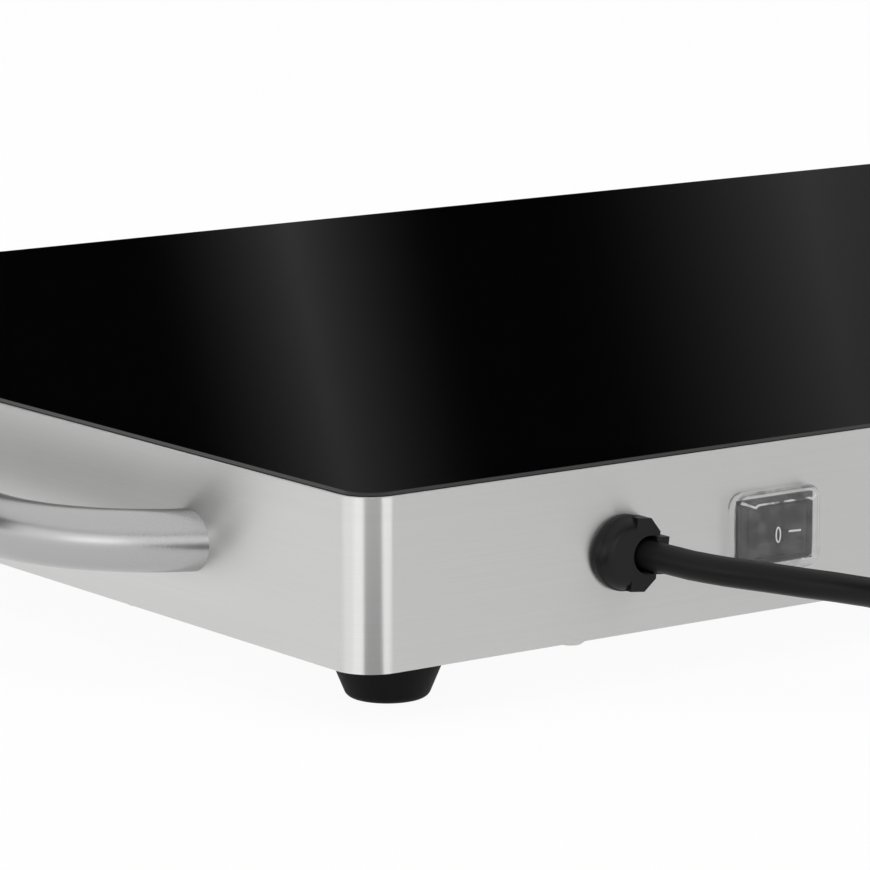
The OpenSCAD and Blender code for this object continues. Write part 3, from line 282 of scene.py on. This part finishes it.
def clear_boot(name, haze_and_painted_light, edge, tone=0.86, broken=0.25):
    """Clear soft plastic: a thin haze face on (its first share), and denser where the film is
    seen along its length (edge), where its colour also goes to a dark grey as painted shade for
    the dark outline of its edges; broken is how patchy the haze is.
    With a pale tone and a thick haze it serves as a painted highlight, and with a dark tone as
    painted shade."""
    finish = new_finish(name)
    haze = finish.noise(finish.spot(), 240.0, 3.0, 0.55)
    patches = finish.span(haze, 0.42, 0.60, 1.0 - broken, 1.0 + broken)
    along = finish.node("ShaderNodeLayerWeight", {}, {"Blend": 0.5}, "Facing")
    grazing = finish.span(along, 0.80, 0.98, 0.0, 1.0)
    finish.surface(
        # dark grey where the film is seen along its length: painted shade for the dark outline of
        # its edges
        Base_Color=finish.blend(grazing, rgb(tone), rgb(0.12)),
        Roughness=finish.span(haze, 0.3, 0.7, 0.10, 0.22),
        Alpha=(patches * haze_and_painted_light + grazing * edge).at_most(1.0),
        IOR=1.45)
    return finish.owner


def metal(name, tone, rough=0.35, patch=90.0):
    """Plated or drawn metal with a soft patchy gloss."""
    finish = new_finish(name)
    patches = finish.noise(finish.spot(), patch, 4.0, 0.55)
    finish.surface(
        Base_Color=finish.blend(patches, toned(tone, 0.82), rgb(tone)),
        Metallic=1.0,
        Roughness=rough + (patches - 0.5) * 0.2,
        Normal=finish.bump(patches, 0.08, 0.0001))
    return finish.owner


def felt(name, tone):
    """Pressed mineral fibre."""
    finish = new_finish(name)
    fibre = finish.noise(finish.spot((1, 1, 3)), 700.0, 6.0, 0.7)
    finish.surface(
        Base_Color=finish.blend(fibre, toned(tone, 0.7), rgb(tone)),
        Roughness=finish.span(fibre, 0.0, 1.0, 0.85, 0.98),
        Normal=finish.bump(fibre, 0.6, 0.0006))
    return finish.owner


def printed(name, tone):
    """Paint of a printed mark, slightly uneven."""
    finish = new_finish(name)
    patches = finish.noise(finish.spot(), 2500.0, 2.0, 0.5)
    finish.surface(
        Base_Color=finish.blend(patches, toned(tone, 0.93), rgb(tone)),
        Roughness=0.5 + (patches - 0.5) * 0.1)
    return finish.owner


def dress(material, *nodes):
    """Gives CAD nodes or pieces their finish."""
    for node in nodes:
        thing = bpy.data.objects[node] if isinstance(node, str) else node
        slots = thing.data.materials
        if len(slots):
            for index in range(len(slots)):
                slots[index] = material
        else:
            slots.append(material)


def keep_from_mirrors(*names):
    """Reflections don't show these objects."""
    for name in names:
        bpy.data.objects[name].visible_glossy = False


# ---------------------------------------------------------------- pieces

def add_piece(name, mesh_or_curve, body):
    """A new object that rides on a body, with its material slot."""
    piece = bpy.data.objects.new(name, mesh_or_curve)
    bpy.context.scene.collection.objects.link(piece)
    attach(piece, body)
    return piece


def smooth_skin(node, body, flats=True):
    """A copy of a CAD node, merged and shaded smooth over its round corners, in its place.
    flats keeps the flat faces even; without it the node is round all over and the slivers
    between its segments are merged too."""
    mesh = bmesh.new()
    mesh.from_mesh(bpy.data.objects[node].data)
    bmesh.ops.remove_doubles(mesh, verts=mesh.verts, dist=(0.001 if flats else 0.12) * MM)
    for face in mesh.faces:
        face.smooth = True
    for edge in mesh.edges:
        edge.smooth = edge.calc_face_angle(math.pi) < math.radians(24)
    data = bpy.data.meshes.new(node + "_skin")
    mesh.to_mesh(data)
    mesh.free()
    data.materials.clear()
    skin = add_piece(node + "_skin", data, body)
    if flats:
        shading = skin.modifiers.new("shading", "WEIGHTED_NORMAL")
        shading.keep_sharp = True
        shading.weight = 100
    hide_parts(node)
    return skin


def lead_route():
    """The lead's route, repeated from part.scad, in metres: out of the bushing, through the
    coil on the worktop and along to the plug."""
    tray = bpy.context.scene.tray_lead
    # the bushing: its axis, how it is turned, how far its head stands out, the lead's offset
    gland_x, gland_z, roll, tilt = 219.8, 34.6, math.radians(6.5), math.radians(10)
    head, side = 4.6, 5.0

    def from_mouth(back):
        """A point on the lead's axis, this far back from the bushing's mouth."""
        local = side - back * math.sin(tilt)
        return Vector((gland_x - local * math.cos(roll), head - back * math.cos(tilt),
                       gland_z - local * math.sin(roll)))

    # the lead starts inside the bushing, 0.5 mm off the wall
    mouth = from_mouth(0)
    start = from_mouth((head - 0.5) / math.cos(tilt))
    route = [start, start.lerp(mouth, 0.5), mouth]
    for dx, dy, dz in ((-1.5, 8.3, -0.4), (-2.8, 12.8, -0.8), (-4.6, 16.9, -1.1), (-7, 21, -1.5),
                       (-10.5, 25.4, -2), (-14.8, 29.3, -2.7), (-21.5, 33.6, -4),
                       (-29.4, 36.5, -5.6), (-39, 37.8, -7.9), (-51.5, 38, -11.8),
                       (-64, 38, -16.2), (-77, 38, -19.9)):
        route.append(mouth + Vector((dx, dy, dz)))
    # the coil: an upper layer that winds in and a lower one that winds out
    off_floor, between_layers, between_turns = 0.9, 0.5, 0.8
    thick = tray.thickness / MM
    low = thick / 2 + off_floor
    high = low + thick + between_layers
    pitch = thick + between_turns
    # part.scad has 51; a little less keeps the round lead inside the CAD model's box
    radius = 50.75
    centre = Vector((110, mouth.y + 38 + radius, 0))
    coil_in = Vector((centre.x + thick, centre.y - radius, high))
    coil_out = Vector((centre.x - thick, centre.y - radius, low))
    route += [coil_in + Vector((8, 0, 0)), coil_in]
    turns, steps = 5, 24
    for i in range(turns * steps + 1):
        s = i / steps
        r = radius - pitch * min(s, turns - s)
        t = min(max((s - turns / 2 + 0.25) * 2, 0), 1)
        up = high + (low - high) * t * t * (3 - 2 * t)
        angle = math.radians(-90 - 360 * s)
        route.append(Vector((centre.x + r * math.cos(angle), centre.y + r * math.sin(angle), up)))
    route.append(coil_out)
    # up to the plug's axis, 18.5 mm over the worktop
    lift = 18.5 - low
    for dx, dz in ((-8, 0), (-22, 1.2), (-36, 5), (-50, 9.6), (-62, 12.8), (-76, lift),
                   (-84, lift)):
        route.append(coil_out + Vector((dx, 0, dz)))
    return [place(p.x, p.y, p.z) for p in route]


class TrayLead(bpy.types.PropertyGroup):
    """The mains lead"""
    thickness: FloatProperty(name="Thickness", description="Diameter of the mains lead",
                             default=0.0075, min=0.006, max=0.009, unit="LENGTH")
    length: FloatProperty(name="Length", description="Whole length of the free lead",
                          default=1.5, min=1.0, max=3.0, unit="LENGTH")
    colour: FloatVectorProperty(name="Colour", description="Colour of the sheath",
                                default=(0.006, 0.006, 0.0065), size=3, subtype="COLOR")


class TrayFinish(bpy.types.PropertyGroup):
    """The tray's colours"""
    steel: FloatVectorProperty(name="Steel", description="Colour of the brushed steel walls",
                               default=(0.715, 0.715, 0.71), size=3, subtype="COLOR")
    handles: FloatVectorProperty(name="Handles", description="Colour of the handle tubes",
                                 default=(0.46, 0.46, 0.46), size=3, subtype="COLOR")
    rubber: FloatVectorProperty(name="Rubber", description="Colour of the feet",
                                default=(0.004, 0.004, 0.0042), size=3, subtype="COLOR")
    plastic: FloatVectorProperty(name="Plastic", description="Colour of bushing, bezel and knob",
                                 default=(0.006, 0.006, 0.0065), size=3, subtype="COLOR")
    marks: FloatVectorProperty(name="Marks", description="Colour of the printed marks",
                               default=(0.80, 0.80, 0.80), size=3, subtype="COLOR")
    ink: FloatVectorProperty(name="Scale", description="Colour of the knob's printed scale",
                             default=(0.02, 0.02, 0.02), size=3, subtype="COLOR")


class TrayStage(bpy.types.PropertyGroup):
    """The camera, the worktop and the light"""
    focal: FloatProperty(name="Focal length", description="Lens of the camera, in millimetres",
                         default=203.13, min=50, max=400)
    floor: FloatProperty(name="Floor", description="How pale the worktop is",
                         default=0.86, min=0.2, max=1.0, subtype="FACTOR")
    key: FloatProperty(name="Key light", description="Power of the large lamp overhead",
                       default=26.0, min=0, unit="POWER")
    surround: FloatProperty(name="Surround", description="Height of the dark cloth all round",
                            default=1.9, min=0.1, max=3.0, unit="LENGTH")
    fill: FloatProperty(name="Sky", description="Strength of the light all round",
                        default=0.75, min=0, max=2, subtype="FACTOR")


class OBJECT_OT_tray_camera(bpy.types.Operator):
    """Set the camera where the photograph was taken from"""
    bl_idname = "object.tray_camera"
    bl_label = "Camera"

    def execute(self, context):
        lens = bpy.data.cameras.new("view")
        lens.sensor_width = 36.0
        lens.lens = context.scene.tray_stage.focal
        lens.clip_end = 50.0
        camera = bpy.data.objects.new("view", lens)
        context.scene.collection.objects.link(camera)
        camera.location = place(*CAMERA_AT)
        camera.rotation_euler = Vector(CAMERA_LINE).to_track_quat("-Z", "Y").to_euler()
        context.scene.camera = camera
        return {"FINISHED"}


class OBJECT_OT_tray_lead(bpy.types.Operator):
    """Lay the mains lead from the bushing through its coil to the plug"""
    bl_idname = "object.tray_lead"
    bl_label = "Mains lead"

    def execute(self, context):
        tray = context.scene.tray_lead
        route = lead_route()
        line = bpy.data.curves.new("lead", "CURVE")
        line.dimensions = "3D"
        line.bevel_depth = 1.0
        line.bevel_resolution = 6
        line.use_fill_caps = True
        spline = line.splines.new("POLY")
        spline.points.add(len(route) - 1)
        for point, at in zip(spline.points, route):
            point.co = (*at, 1.0)
            # the thickness is in the points, so that the curve's box is the lead's own
            point.radius = tray.thickness / 2
        spline.use_smooth = True
        lead = add_piece("lead_cord", line, "tray")
        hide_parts("mains_lead", "lead_coil", "plug_lead")
        dress(moulded("lead sheath", tray.colour, 0.40, 1800.0, 0.08, 0.16), lead, "supply_tail")
        # the photograph shows no coil, so the wall doesn't mirror the one that lies beside it
        keep_from_mirrors("lead_cord", "lead_tie", "plug_body", "plug_pins")
        return {"FINISHED"}


class OBJECT_OT_tray_walls(bpy.types.Operator):
    """Finish the steel box, its handles and the glass top"""
    bl_idname = "object.tray_walls"
    bl_label = "Steel and glass"

    def execute(self, context):
        look = context.scene.tray_finish
        dress(brushed_steel("wall steel", look.steel), smooth_skin("body_shell", "tray"))
        dress(satin_steel("handle steel", look.handles),
              smooth_skin("left_handle", "tray", flats=False),
              smooth_skin("right_handle", "tray", flats=False))
        dress(black_glass("top glass"), "glass_top")
        dress(brushed_steel("plain sheet", (0.55, 0.55, 0.55), 0.40, 0.08), "base_plate",
              "glass_ledge")
        dress(metal("galvanised sheet", (0.58, 0.59, 0.60), 0.42, 35.0), "insulation_pan",
              "front_rail", "rear_rail")
        dress(metal("zinc", (0.62, 0.62, 0.60), 0.30), "rail_screws", "pan_screws", "base_screws",
              "handle_screws", "foot_screws", "foot_nuts", "thermostat_screws",
              "thermostat_shaft", "earth_stud")
        return {"FINISHED"}


class OBJECT_OT_tray_fittings(bpy.types.Operator):
    """Finish the feet, the bushing, the switch, the knob and the plug"""
    bl_idname = "object.tray_fittings"
    bl_label = "Feet and fittings"

    def execute(self, context):
        look = context.scene.tray_finish
        dress(moulded("foot rubber", look.rubber, 0.62, 900.0, 0.3, 0.12), "foot_front_left",
              "foot_front_right", "foot_rear_left", "foot_rear_right")
        dress(moulded("silicone", (0.02, 0.02, 0.02), 0.55), "glass_seal", "harness_grommets",
              "lead_tie")
        dress(moulded("black moulding", look.plastic, 0.34, 1400.0, 0.15, 0.2), "bushing_body",
              "bushing_jaw", "switch_housing", "thermostat_knob", "plug_body")
        dress(moulded("rocker gloss", look.plastic, 0.22, 1400.0, 0.04, 0.3), "rocker")
        dress(metal("nickel", (0.75, 0.74, 0.71), 0.16), "plug_pins")
        dress(metal("brass", (0.72, 0.54, 0.26), 0.25), "switch_terminals", "terminal_screws")
        dress(metal("copper", (0.75, 0.42, 0.26), 0.25), "sensor_bulb", "capillary_tube")
        dress(metal("mill aluminium", (0.78, 0.78, 0.79), 0.35, 25.0), "heat_spreader")
        dress(moulded("ceramic", (0.66, 0.62, 0.54), 0.6, 700.0, 0.3), "thermostat_body",
              "thermal_cutout")
        dress(moulded("white moulding", (0.7, 0.7, 0.68), 0.4), "lamp_body", "terminal_block")
        dress(moulded("amber lens", (0.75, 0.22, 0.02), 0.15, 400.0, 0.03), "lamp_lens")
        dress(felt("mineral felt", (0.72, 0.66, 0.52)), "insulation_mat")
        dress(moulded("heater silicone", (0.42, 0.05, 0.03), 0.5), "heating_cord")
        dress(moulded("brown wire", (0.10, 0.035, 0.015), 0.4), "live_wires")
        dress(moulded("blue wire", (0.02, 0.07, 0.30), 0.4), "neutral_wires")
        dress(moulded("green wire", (0.14, 0.36, 0.03), 0.4), "earth_wire")
        dress(moulded("white wire", (0.6, 0.58, 0.52), 0.45), "heater_leads")
        dress(moulded("grey sleeve", (0.06, 0.06, 0.06), 0.5), "harness_sleeve")
        return {"FINISHED"}


def ring_mark(width, height, stroke, depth):
    """A thin closed ring, such as the figure 0: an ellipse, inset and left hollow."""
    mesh = bmesh.new()
    circle = bmesh.ops.create_circle(mesh, cap_ends=True, segments=40, radius=0.5)
    bmesh.ops.scale(mesh, verts=circle["verts"], vec=(width, height, 1))
    middle = mesh.faces[:]
    bmesh.ops.inset_region(mesh, faces=middle, thickness=stroke, use_boundary=True,
                           use_even_offset=True)
    bmesh.ops.delete(mesh, geom=middle, context="FACES_ONLY")
    body = bmesh.ops.extrude_face_region(mesh, geom=mesh.faces[:])
    moved = [v for v in body["geom"] if isinstance(v, bmesh.types.BMVert)]
    bmesh.ops.translate(mesh, verts=moved, vec=(0, 0, depth))
    bmesh.ops.recalc_face_normals(mesh, faces=mesh.faces)
    return mesh


def figure_mark(mesh, figure, size, at, depth):
    """Adds a plain figure, standing upright round its middle at this place, to a mesh."""
    letters = bpy.data.curves.new("figure", "FONT")
    letters.body, letters.size, letters.extrude = figure, size, depth / 2
    letters.align_x, letters.align_y = "CENTER", "CENTER"
    holder = bpy.data.objects.new("figure", letters)
    shape = holder.to_mesh()
    shape.transform(Matrix.Translation(at))
    mesh.from_mesh(shape)
    holder.to_mesh_clear()
    bpy.data.objects.remove(holder)
    bpy.data.curves.remove(letters)


def bar_mark(mesh, width, height, at, depth, turn=0.0):
    """Adds a thin bar to a mesh, at this place and then turned round the mesh's middle."""
    bar = bmesh.ops.create_cube(mesh, size=1.0)
    bmesh.ops.scale(mesh, verts=bar["verts"], vec=(width, height, depth))
    bmesh.ops.translate(mesh, verts=bar["verts"], vec=at)
    bmesh.ops.rotate(mesh, verts=bar["verts"], cent=(0, 0, 0),
                     matrix=Matrix.Rotation(turn, 3, "Z"))


def mesh_piece(name, mesh, place_at, body):
    """Puts a bmesh where it belongs, with its place in its mesh."""
    bmesh.ops.transform(mesh, matrix=place_at, verts=mesh.verts)
    data = bpy.data.meshes.new(name)
    mesh.to_mesh(data)
    mesh.free()
    return add_piece(name, data, body)


def outline(mesh, width, height, radius, level):
    """The edges of a level rectangle with round corners, with its face left in it."""
    grid = bmesh.ops.create_grid(mesh, x_segments=1, y_segments=1, size=0.5)
    verts = grid["verts"]
    bmesh.ops.scale(mesh, verts=verts, vec=(width, height, 1))
    bmesh.ops.translate(mesh, verts=verts, vec=(0, 0, level))
    made = bmesh.ops.bevel(mesh, geom=verts, affect="VERTICES", offset=radius, segments=6,
                           profile=0.5, material=-1)
    return max((f for v in made["verts"] for f in v.link_faces), key=lambda f: len(f.verts))


class OBJECT_OT_tray_boot(bpy.types.Operator):
    """Pull the clear boot over the switch: a rim on the wall, sloping sides and a flat front"""
    bl_idname = "object.tray_boot"
    bl_label = "Switch boot"

    def execute(self, context):
        low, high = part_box("switch_boot")
        width, height, out = high.x - low.x, high.z - low.z, high.y - low.y
        rim = 3.4 * MM
        shoulder = rim - 0.8 * MM
        mesh = bmesh.new()
        # how much narrower and lower than the rim's foot, the corners' radius, the level
        faces = [outline(mesh, width - less * MM, height - lower * MM, radius * MM, level)
                 for less, lower, radius, level in (
                     (0, 0, 4.0, 0), (0, 0, 4.0, shoulder), (1.2, 1.2, 3.4, rim),
                     (1.8, 1.8, 3.1, rim), (8.8, 5.6, 1.6, out))]
        loops = [list(face.edges) for face in faces]
        bmesh.ops.delete(mesh, geom=faces[:-1], context="FACES_ONLY")
        for below, above in zip(loops, loops[1:]):
            bmesh.ops.bridge_loops(mesh, edges=below + above)
        bmesh.ops.recalc_face_normals(mesh, faces=mesh.faces)
        front = list(faces[-1].edges)
        # the front's edges are bevelled into the second material, a painted highlight
        bmesh.ops.bevel(mesh, geom=front, affect="EDGES", offset=0.28 * MM, segments=3,
                        profile=0.5, material=1)
        film, fold, lip = range(3)
        for face in mesh.faces:
            face.smooth = True
            # the middle of each round corner between the rim and the front gets a painted
            # highlight, a pale dense haze; the rim's upper edge gets painted shade, a dark grey
            # band
            middle, slope = face.calc_center_median(), face.normal
            lie = math.degrees(math.atan2(abs(slope.y), abs(slope.x)))
            # painted shade: the rim's upper edge takes a dark grey band
            if shoulder < middle.z < rim - 0.1 * MM:
                face.material_index = lip
            elif rim + 0.2 * MM < middle.z < out - 0.3 * MM:
                face.material_index = fold if 38 < lie < 52 else film
            elif lie < 36:
                face.material_index = film
        for edge in mesh.edges:
            edge.smooth = edge.calc_face_angle(math.pi) < math.radians(32)
        seat = Matrix.Translation(((low.x + high.x) / 2, low.y, (low.z + high.z) / 2)) @ ON_BACK
        boot = mesh_piece("clear_boot", mesh, seat, "tray")
        wall = boot.modifiers.new("wall", "SOLIDIFY")
        wall.thickness = 0.6 * MM
        wall.offset = -1
        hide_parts("switch_boot")
        boot.data.materials.append(clear_boot("clear film", 0.06, 0.6))
        # painted highlight: a pale dense haze along the folds and the front's edges
        boot.data.materials.append(clear_boot("fold painted highlight", 0.34, 0.2, broken=0.8))
        # painted shade: a dark grey band along the rim's upper edge
        boot.data.materials.append(clear_boot("boot edge painted shade", 0.48, 0.5, 0.10, 0.4))
        # the wall shows bright beside the switch, as in the photograph
        keep_from_mirrors("switch_housing", "rocker")
        return {"FINISHED"}


class OBJECT_OT_tray_marks(bpy.types.Operator):
    """Print the 0 and I on the rocker and the scale round the knob"""
    bl_idname = "object.tray_marks"
    bl_label = "Marks"

    def execute(self, context):
        look = context.scene.tray_finish
        paint = printed("mark paint", look.marks)
        # the rocker's face: its middle and its tilt at rest
        pivot = place(171.7, -0.3, 34.8)
        face = (Matrix.Translation(pivot) @ ON_BACK
                @ Matrix.Rotation(math.radians(-7), 4, "Y"))
        nought = mesh_piece("mark_off", ring_mark(1.65 * MM, 4.2 * MM, 0.36 * MM, 0.08 * MM),
                            face @ Matrix.Translation((0.4 * MM, -1.15 * MM, 3.38 * MM)),
                            "rocker")
        stroke = bmesh.new()
        bar_mark(stroke, 3.6 * MM, 0.5 * MM, (0, 0, 0.04 * MM), 0.08 * MM)
        stroke = mesh_piece("mark_on", stroke,
                            face @ Matrix.Translation((5.3 * MM, -0.5 * MM, 3.55 * MM))
                            @ Matrix.Rotation(math.radians(-2.8), 4, "Y"),
                            "rocker")
        dress(paint, nought, stroke)

        # the knob's scale: figures clockwise over three quarters of a turn, and a pointer
        low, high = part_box("thermostat_knob")
        across, up = (low.x + high.x) / 2, (low.z + high.z) / 2
        scale = bmesh.new()
        for step in range(SCALE_TICKS):
            turn = math.radians(TICK_STEP * step)
            numbered = step % 2 == 0
            long = (1.5 if numbered else 0.9) * MM
            bar_mark(scale, 0.35 * MM, long, (0, TICK_START * MM + long / 2, 0), 0.06 * MM, -turn)
            if numbered:
                reach = FIGURE_REACH * MM
                figure_mark(scale, str(step // 2), 2.5 * MM,
                            (reach * math.sin(turn), reach * math.cos(turn), 0), 0.06 * MM)
        scale = mesh_piece("dial_scale", scale,
                           Matrix.Translation((across, FRONT_Y, up)) @ ON_FRONT, "tray")
        dress(printed("scale ink", look.ink), scale)
        pointer = bmesh.new()
        bar_mark(pointer, 1.0 * MM, 6.0 * MM, (0, 8.5 * MM, 0), 0.04 * MM)
        pointer = mesh_piece("knob_pointer", pointer,
                             Matrix.Translation((across, low.y, up)) @ ON_FRONT, "knob")
        dress(paint, pointer)
        return {"FINISHED"}


class OBJECT_OT_tray_stage(bpy.types.Operator):
    """Set up the worktop, the dark surround with its strips of light, the lamps and the sky"""
    bl_idname = "object.tray_stage"
    bl_label = "Studio"

    def execute(self, context):
        studio = context.scene.tray_stage
        self.worktop(studio)
        self.surround(studio)
        self.cloth()
        overhead = self.lamp("overhead", OVERHEAD_AT, (0, 0, 0), OVERHEAD_SIZE, OVERHEAD_SIZE,
                             studio.key)
        overhead.visible_glossy = False
        corner = Vector((SIDE_X, BACK_Y, CORNER_LAMP_LEVEL))
        for azimuth, width, share in CORNER_LAMPS:
            turn = math.radians(azimuth)
            at = corner + CORNER_LAMP_REACH * Vector((math.cos(turn), math.sin(turn), 0))
            self.lamp("strip", at, corner, width, CORNER_LAMP_HEIGHT, studio.key * share)

        sky = Finish(bpy.data.worlds.new("sky"))
        context.scene.world = sky.owner
        ray = sky.node("ShaderNodeLightPath", {}, {}, "Is Camera Ray")
        seen = (ray + ray.other("Is Glossy Ray") + ray.other("Is Transmission Ray")).at_most(1.0)
        sky.node_output(sky.node("ShaderNodeBackground", {},
                                 {"Color": rgb(1.0),
                                  "Strength": studio.fill + seen * (1.0 - studio.fill)}))
        return {"FINISHED"}

    def stage_piece(self, name, mesh, only_mirrored=False):
        """A part of the studio; only reflections see one that is only mirrored."""
        data = bpy.data.meshes.new(name)
        mesh.to_mesh(data)
        mesh.free()
        thing = bpy.data.objects.new(name, data)
        bpy.context.scene.collection.objects.link(thing)
        if only_mirrored:
            for ray in ("camera", "diffuse", "transmission", "volume_scatter", "shadow"):
                setattr(thing, "visible_" + ray, False)
        return thing

    def worktop(self, studio):
        """A pale level floor that shows white and keeps the tray's shadow."""
        mesh = bmesh.new()
        bmesh.ops.create_grid(mesh, x_segments=1, y_segments=1, size=12.0)
        floor = self.stage_piece("worktop", mesh)
        finish = new_finish("worktop")
        ray = finish.node("ShaderNodeLightPath", {}, {}, "Is Camera Ray")
        seen = (ray * 0.94 + ray.other("Is Glossy Ray") * 0.80
                + ray.other("Is Transmission Ray") * 0.80).at_most(1.0)
        lit = finish.node("ShaderNodeBsdfDiffuse", {}, {"Color": rgb(studio.floor)})
        white = finish.node("ShaderNodeEmission", {}, {"Color": rgb(1.0), "Strength": 1.0})
        finish.node_output(finish.node("ShaderNodeMixShader", {}, {0: seen, 1: lit, 2: white}))
        dress(finish.owner, floor)

    def surround(self, studio):
        """A ring of black cloth that the glass reflects, with dim strips of light that lean a
        little, and a window."""
        mesh = bmesh.new()
        bmesh.ops.create_cone(mesh, cap_ends=False, segments=96, radius1=RING_RADIUS,
                              radius2=RING_RADIUS, depth=studio.surround)
        bmesh.ops.translate(mesh, verts=mesh.verts,
                            vec=(0, 0, studio.surround / 2 + RING_GAP))
        ring = self.stage_piece("surround", mesh, only_mirrored=True)
        finish = new_finish("surround")
        x = finish.node("ShaderNodeSeparateXYZ", {},
                        {"Vector": finish.node("ShaderNodeTexCoord", {}, {}, "Object")}, "X")
        y, height = x.other("Y"), x.other("Z")
        # degrees round the tray, taken along a line that leans as the strips do
        angle = finish.node("ShaderNodeMath", {"operation": "ARCTAN2"},
                            {0: y - MID_Y, 1: x}) * math.degrees(1)
        angle = angle + (height - STRIP_LEVEL) * STRIP_LEAN
        glow = 0.0
        for middle, before, after, strength in STRIPS:
            turned = finish.node("ShaderNodeMath", {"operation": "WRAP"},
                                 {0: angle - middle, 1: 180.0, 2: -180.0})
            rise = finish.span(turned, -before, 0.0, 0.0, 1.0)
            fall = finish.span(turned, 0.0, after, 1.0, 0.0)
            glow = glow + (rise * fall) ** 2.0 * strength

        def window(strength, sill, lintel, middle, inner, outer):
            """A bright patch that fades from sill to lintel and from inner to outer degrees."""
            return (finish.span(height, sill, lintel, strength, 0.0)
                    * finish.span((angle - middle).size(), inner, outer, 1.0, 0.0))

        # a long low window behind the photographer, taller on one side, which the handles and
        # the side wall mirror
        top = studio.surround
        low = window(1.35, 0.25, 0.45, -10.0, 75.0, 95.0)
        tall = window(1.3, top - 0.35, top - 0.15, 30.0, 48.0, 60.0)
        self.glowing(finish, ring, glow + low.at_least(tall) + RING_BLACK)

    def cloth(self):
        """A dark three-cornered cloth on the worktop, off the near corner, for the dark band
        that the corner mirrors."""
        mesh = bmesh.new()
        long, azimuth = 0.3, 62
        bmesh.ops.create_circle(mesh, cap_ends=True, segments=3, radius=long)
        points = max(mesh.verts, key=lambda v: v.co.length)
        bmesh.ops.rotate(mesh, verts=mesh.verts, cent=(0, 0, 0),
                         matrix=Matrix.Rotation(-math.atan2(points.co.y, points.co.x), 3, "Z"))
        bmesh.ops.translate(mesh, verts=mesh.verts, vec=(-long, 0, 0))
        bmesh.ops.scale(mesh, verts=mesh.verts, vec=(1, 0.84, 1))
        bmesh.ops.transform(mesh, verts=mesh.verts, matrix=(
            Matrix.Translation((SIDE_X - 10 * MM, BACK_Y - 10 * MM, 0.5 * MM))
            @ Matrix.Rotation(math.radians(azimuth + 180), 4, "Z")))
        cloth = self.stage_piece("cloth", mesh, only_mirrored=True)
        self.glowing(new_finish("cloth"), cloth, 0.08)

    def glowing(self, finish, thing, strength):
        """Closes a finish with white light of this strength and puts it on."""
        finish.node_output(finish.node("ShaderNodeEmission", {},
                                       {"Color": rgb(1.0), "Strength": strength}))
        dress(finish.owner, thing)

    def lamp(self, name, at, aim, size, size_y, power):
        """An area lamp at one point that faces another."""
        light = bpy.data.lights.new(name, "AREA")
        light.shape = "RECTANGLE"
        light.size, light.size_y, light.energy = size, size_y, power
        thing = bpy.data.objects.new(name, light)
        bpy.context.scene.collection.objects.link(thing)
        thing.location = at
        turn = (Vector(aim) - Vector(at)).to_track_quat("-Z", "Y")
        thing.rotation_euler = turn.to_euler()
        return thing


class VIEW3D_PT_tray(bpy.types.Panel):
    """The tray's pieces and their settings"""
    bl_idname = "VIEW3D_PT_tray"
    bl_label = "Warming tray"
    bl_space_type = "VIEW_3D"
    bl_region_type = "UI"
    bl_category = "Tray"

    def draw(self, context):
        layout = self.layout
        for settings in (context.scene.tray_lead, context.scene.tray_finish,
                         context.scene.tray_stage):
            box = layout.box()
            for name in settings.__annotations__:
                box.prop(settings, name)
        for operator in OPERATORS:
            layout.operator(operator.bl_idname)


OPERATORS = (OBJECT_OT_tray_camera, OBJECT_OT_tray_lead, OBJECT_OT_tray_walls,
             OBJECT_OT_tray_fittings, OBJECT_OT_tray_boot, OBJECT_OT_tray_marks,
             OBJECT_OT_tray_stage)
GROUPS = (TrayLead, TrayFinish, TrayStage)


def register():
    """Registers the settings, the operators and the panel."""
    for cls in GROUPS + OPERATORS + (VIEW3D_PT_tray,):
        bpy.utils.register_class(cls)
    bpy.types.Scene.tray_lead = PointerProperty(type=TrayLead)
    bpy.types.Scene.tray_finish = PointerProperty(type=TrayFinish)
    bpy.types.Scene.tray_stage = PointerProperty(type=TrayStage)


def unregister():
    """Takes all of it back."""
    del bpy.types.Scene.tray_stage
    del bpy.types.Scene.tray_finish
    del bpy.types.Scene.tray_lead
    for cls in reversed(GROUPS + OPERATORS + (VIEW3D_PT_tray,)):
        bpy.utils.unregister_class(cls)


def main():
    """Runs the operators in order."""
    register()
    bpy.context.scene.view_settings.view_transform = "Standard"
    for operator in OPERATORS:
        group, name = operator.bl_idname.split(".")
        getattr(getattr(bpy.ops, group), name)()


if __name__ == "__main__":
    main()
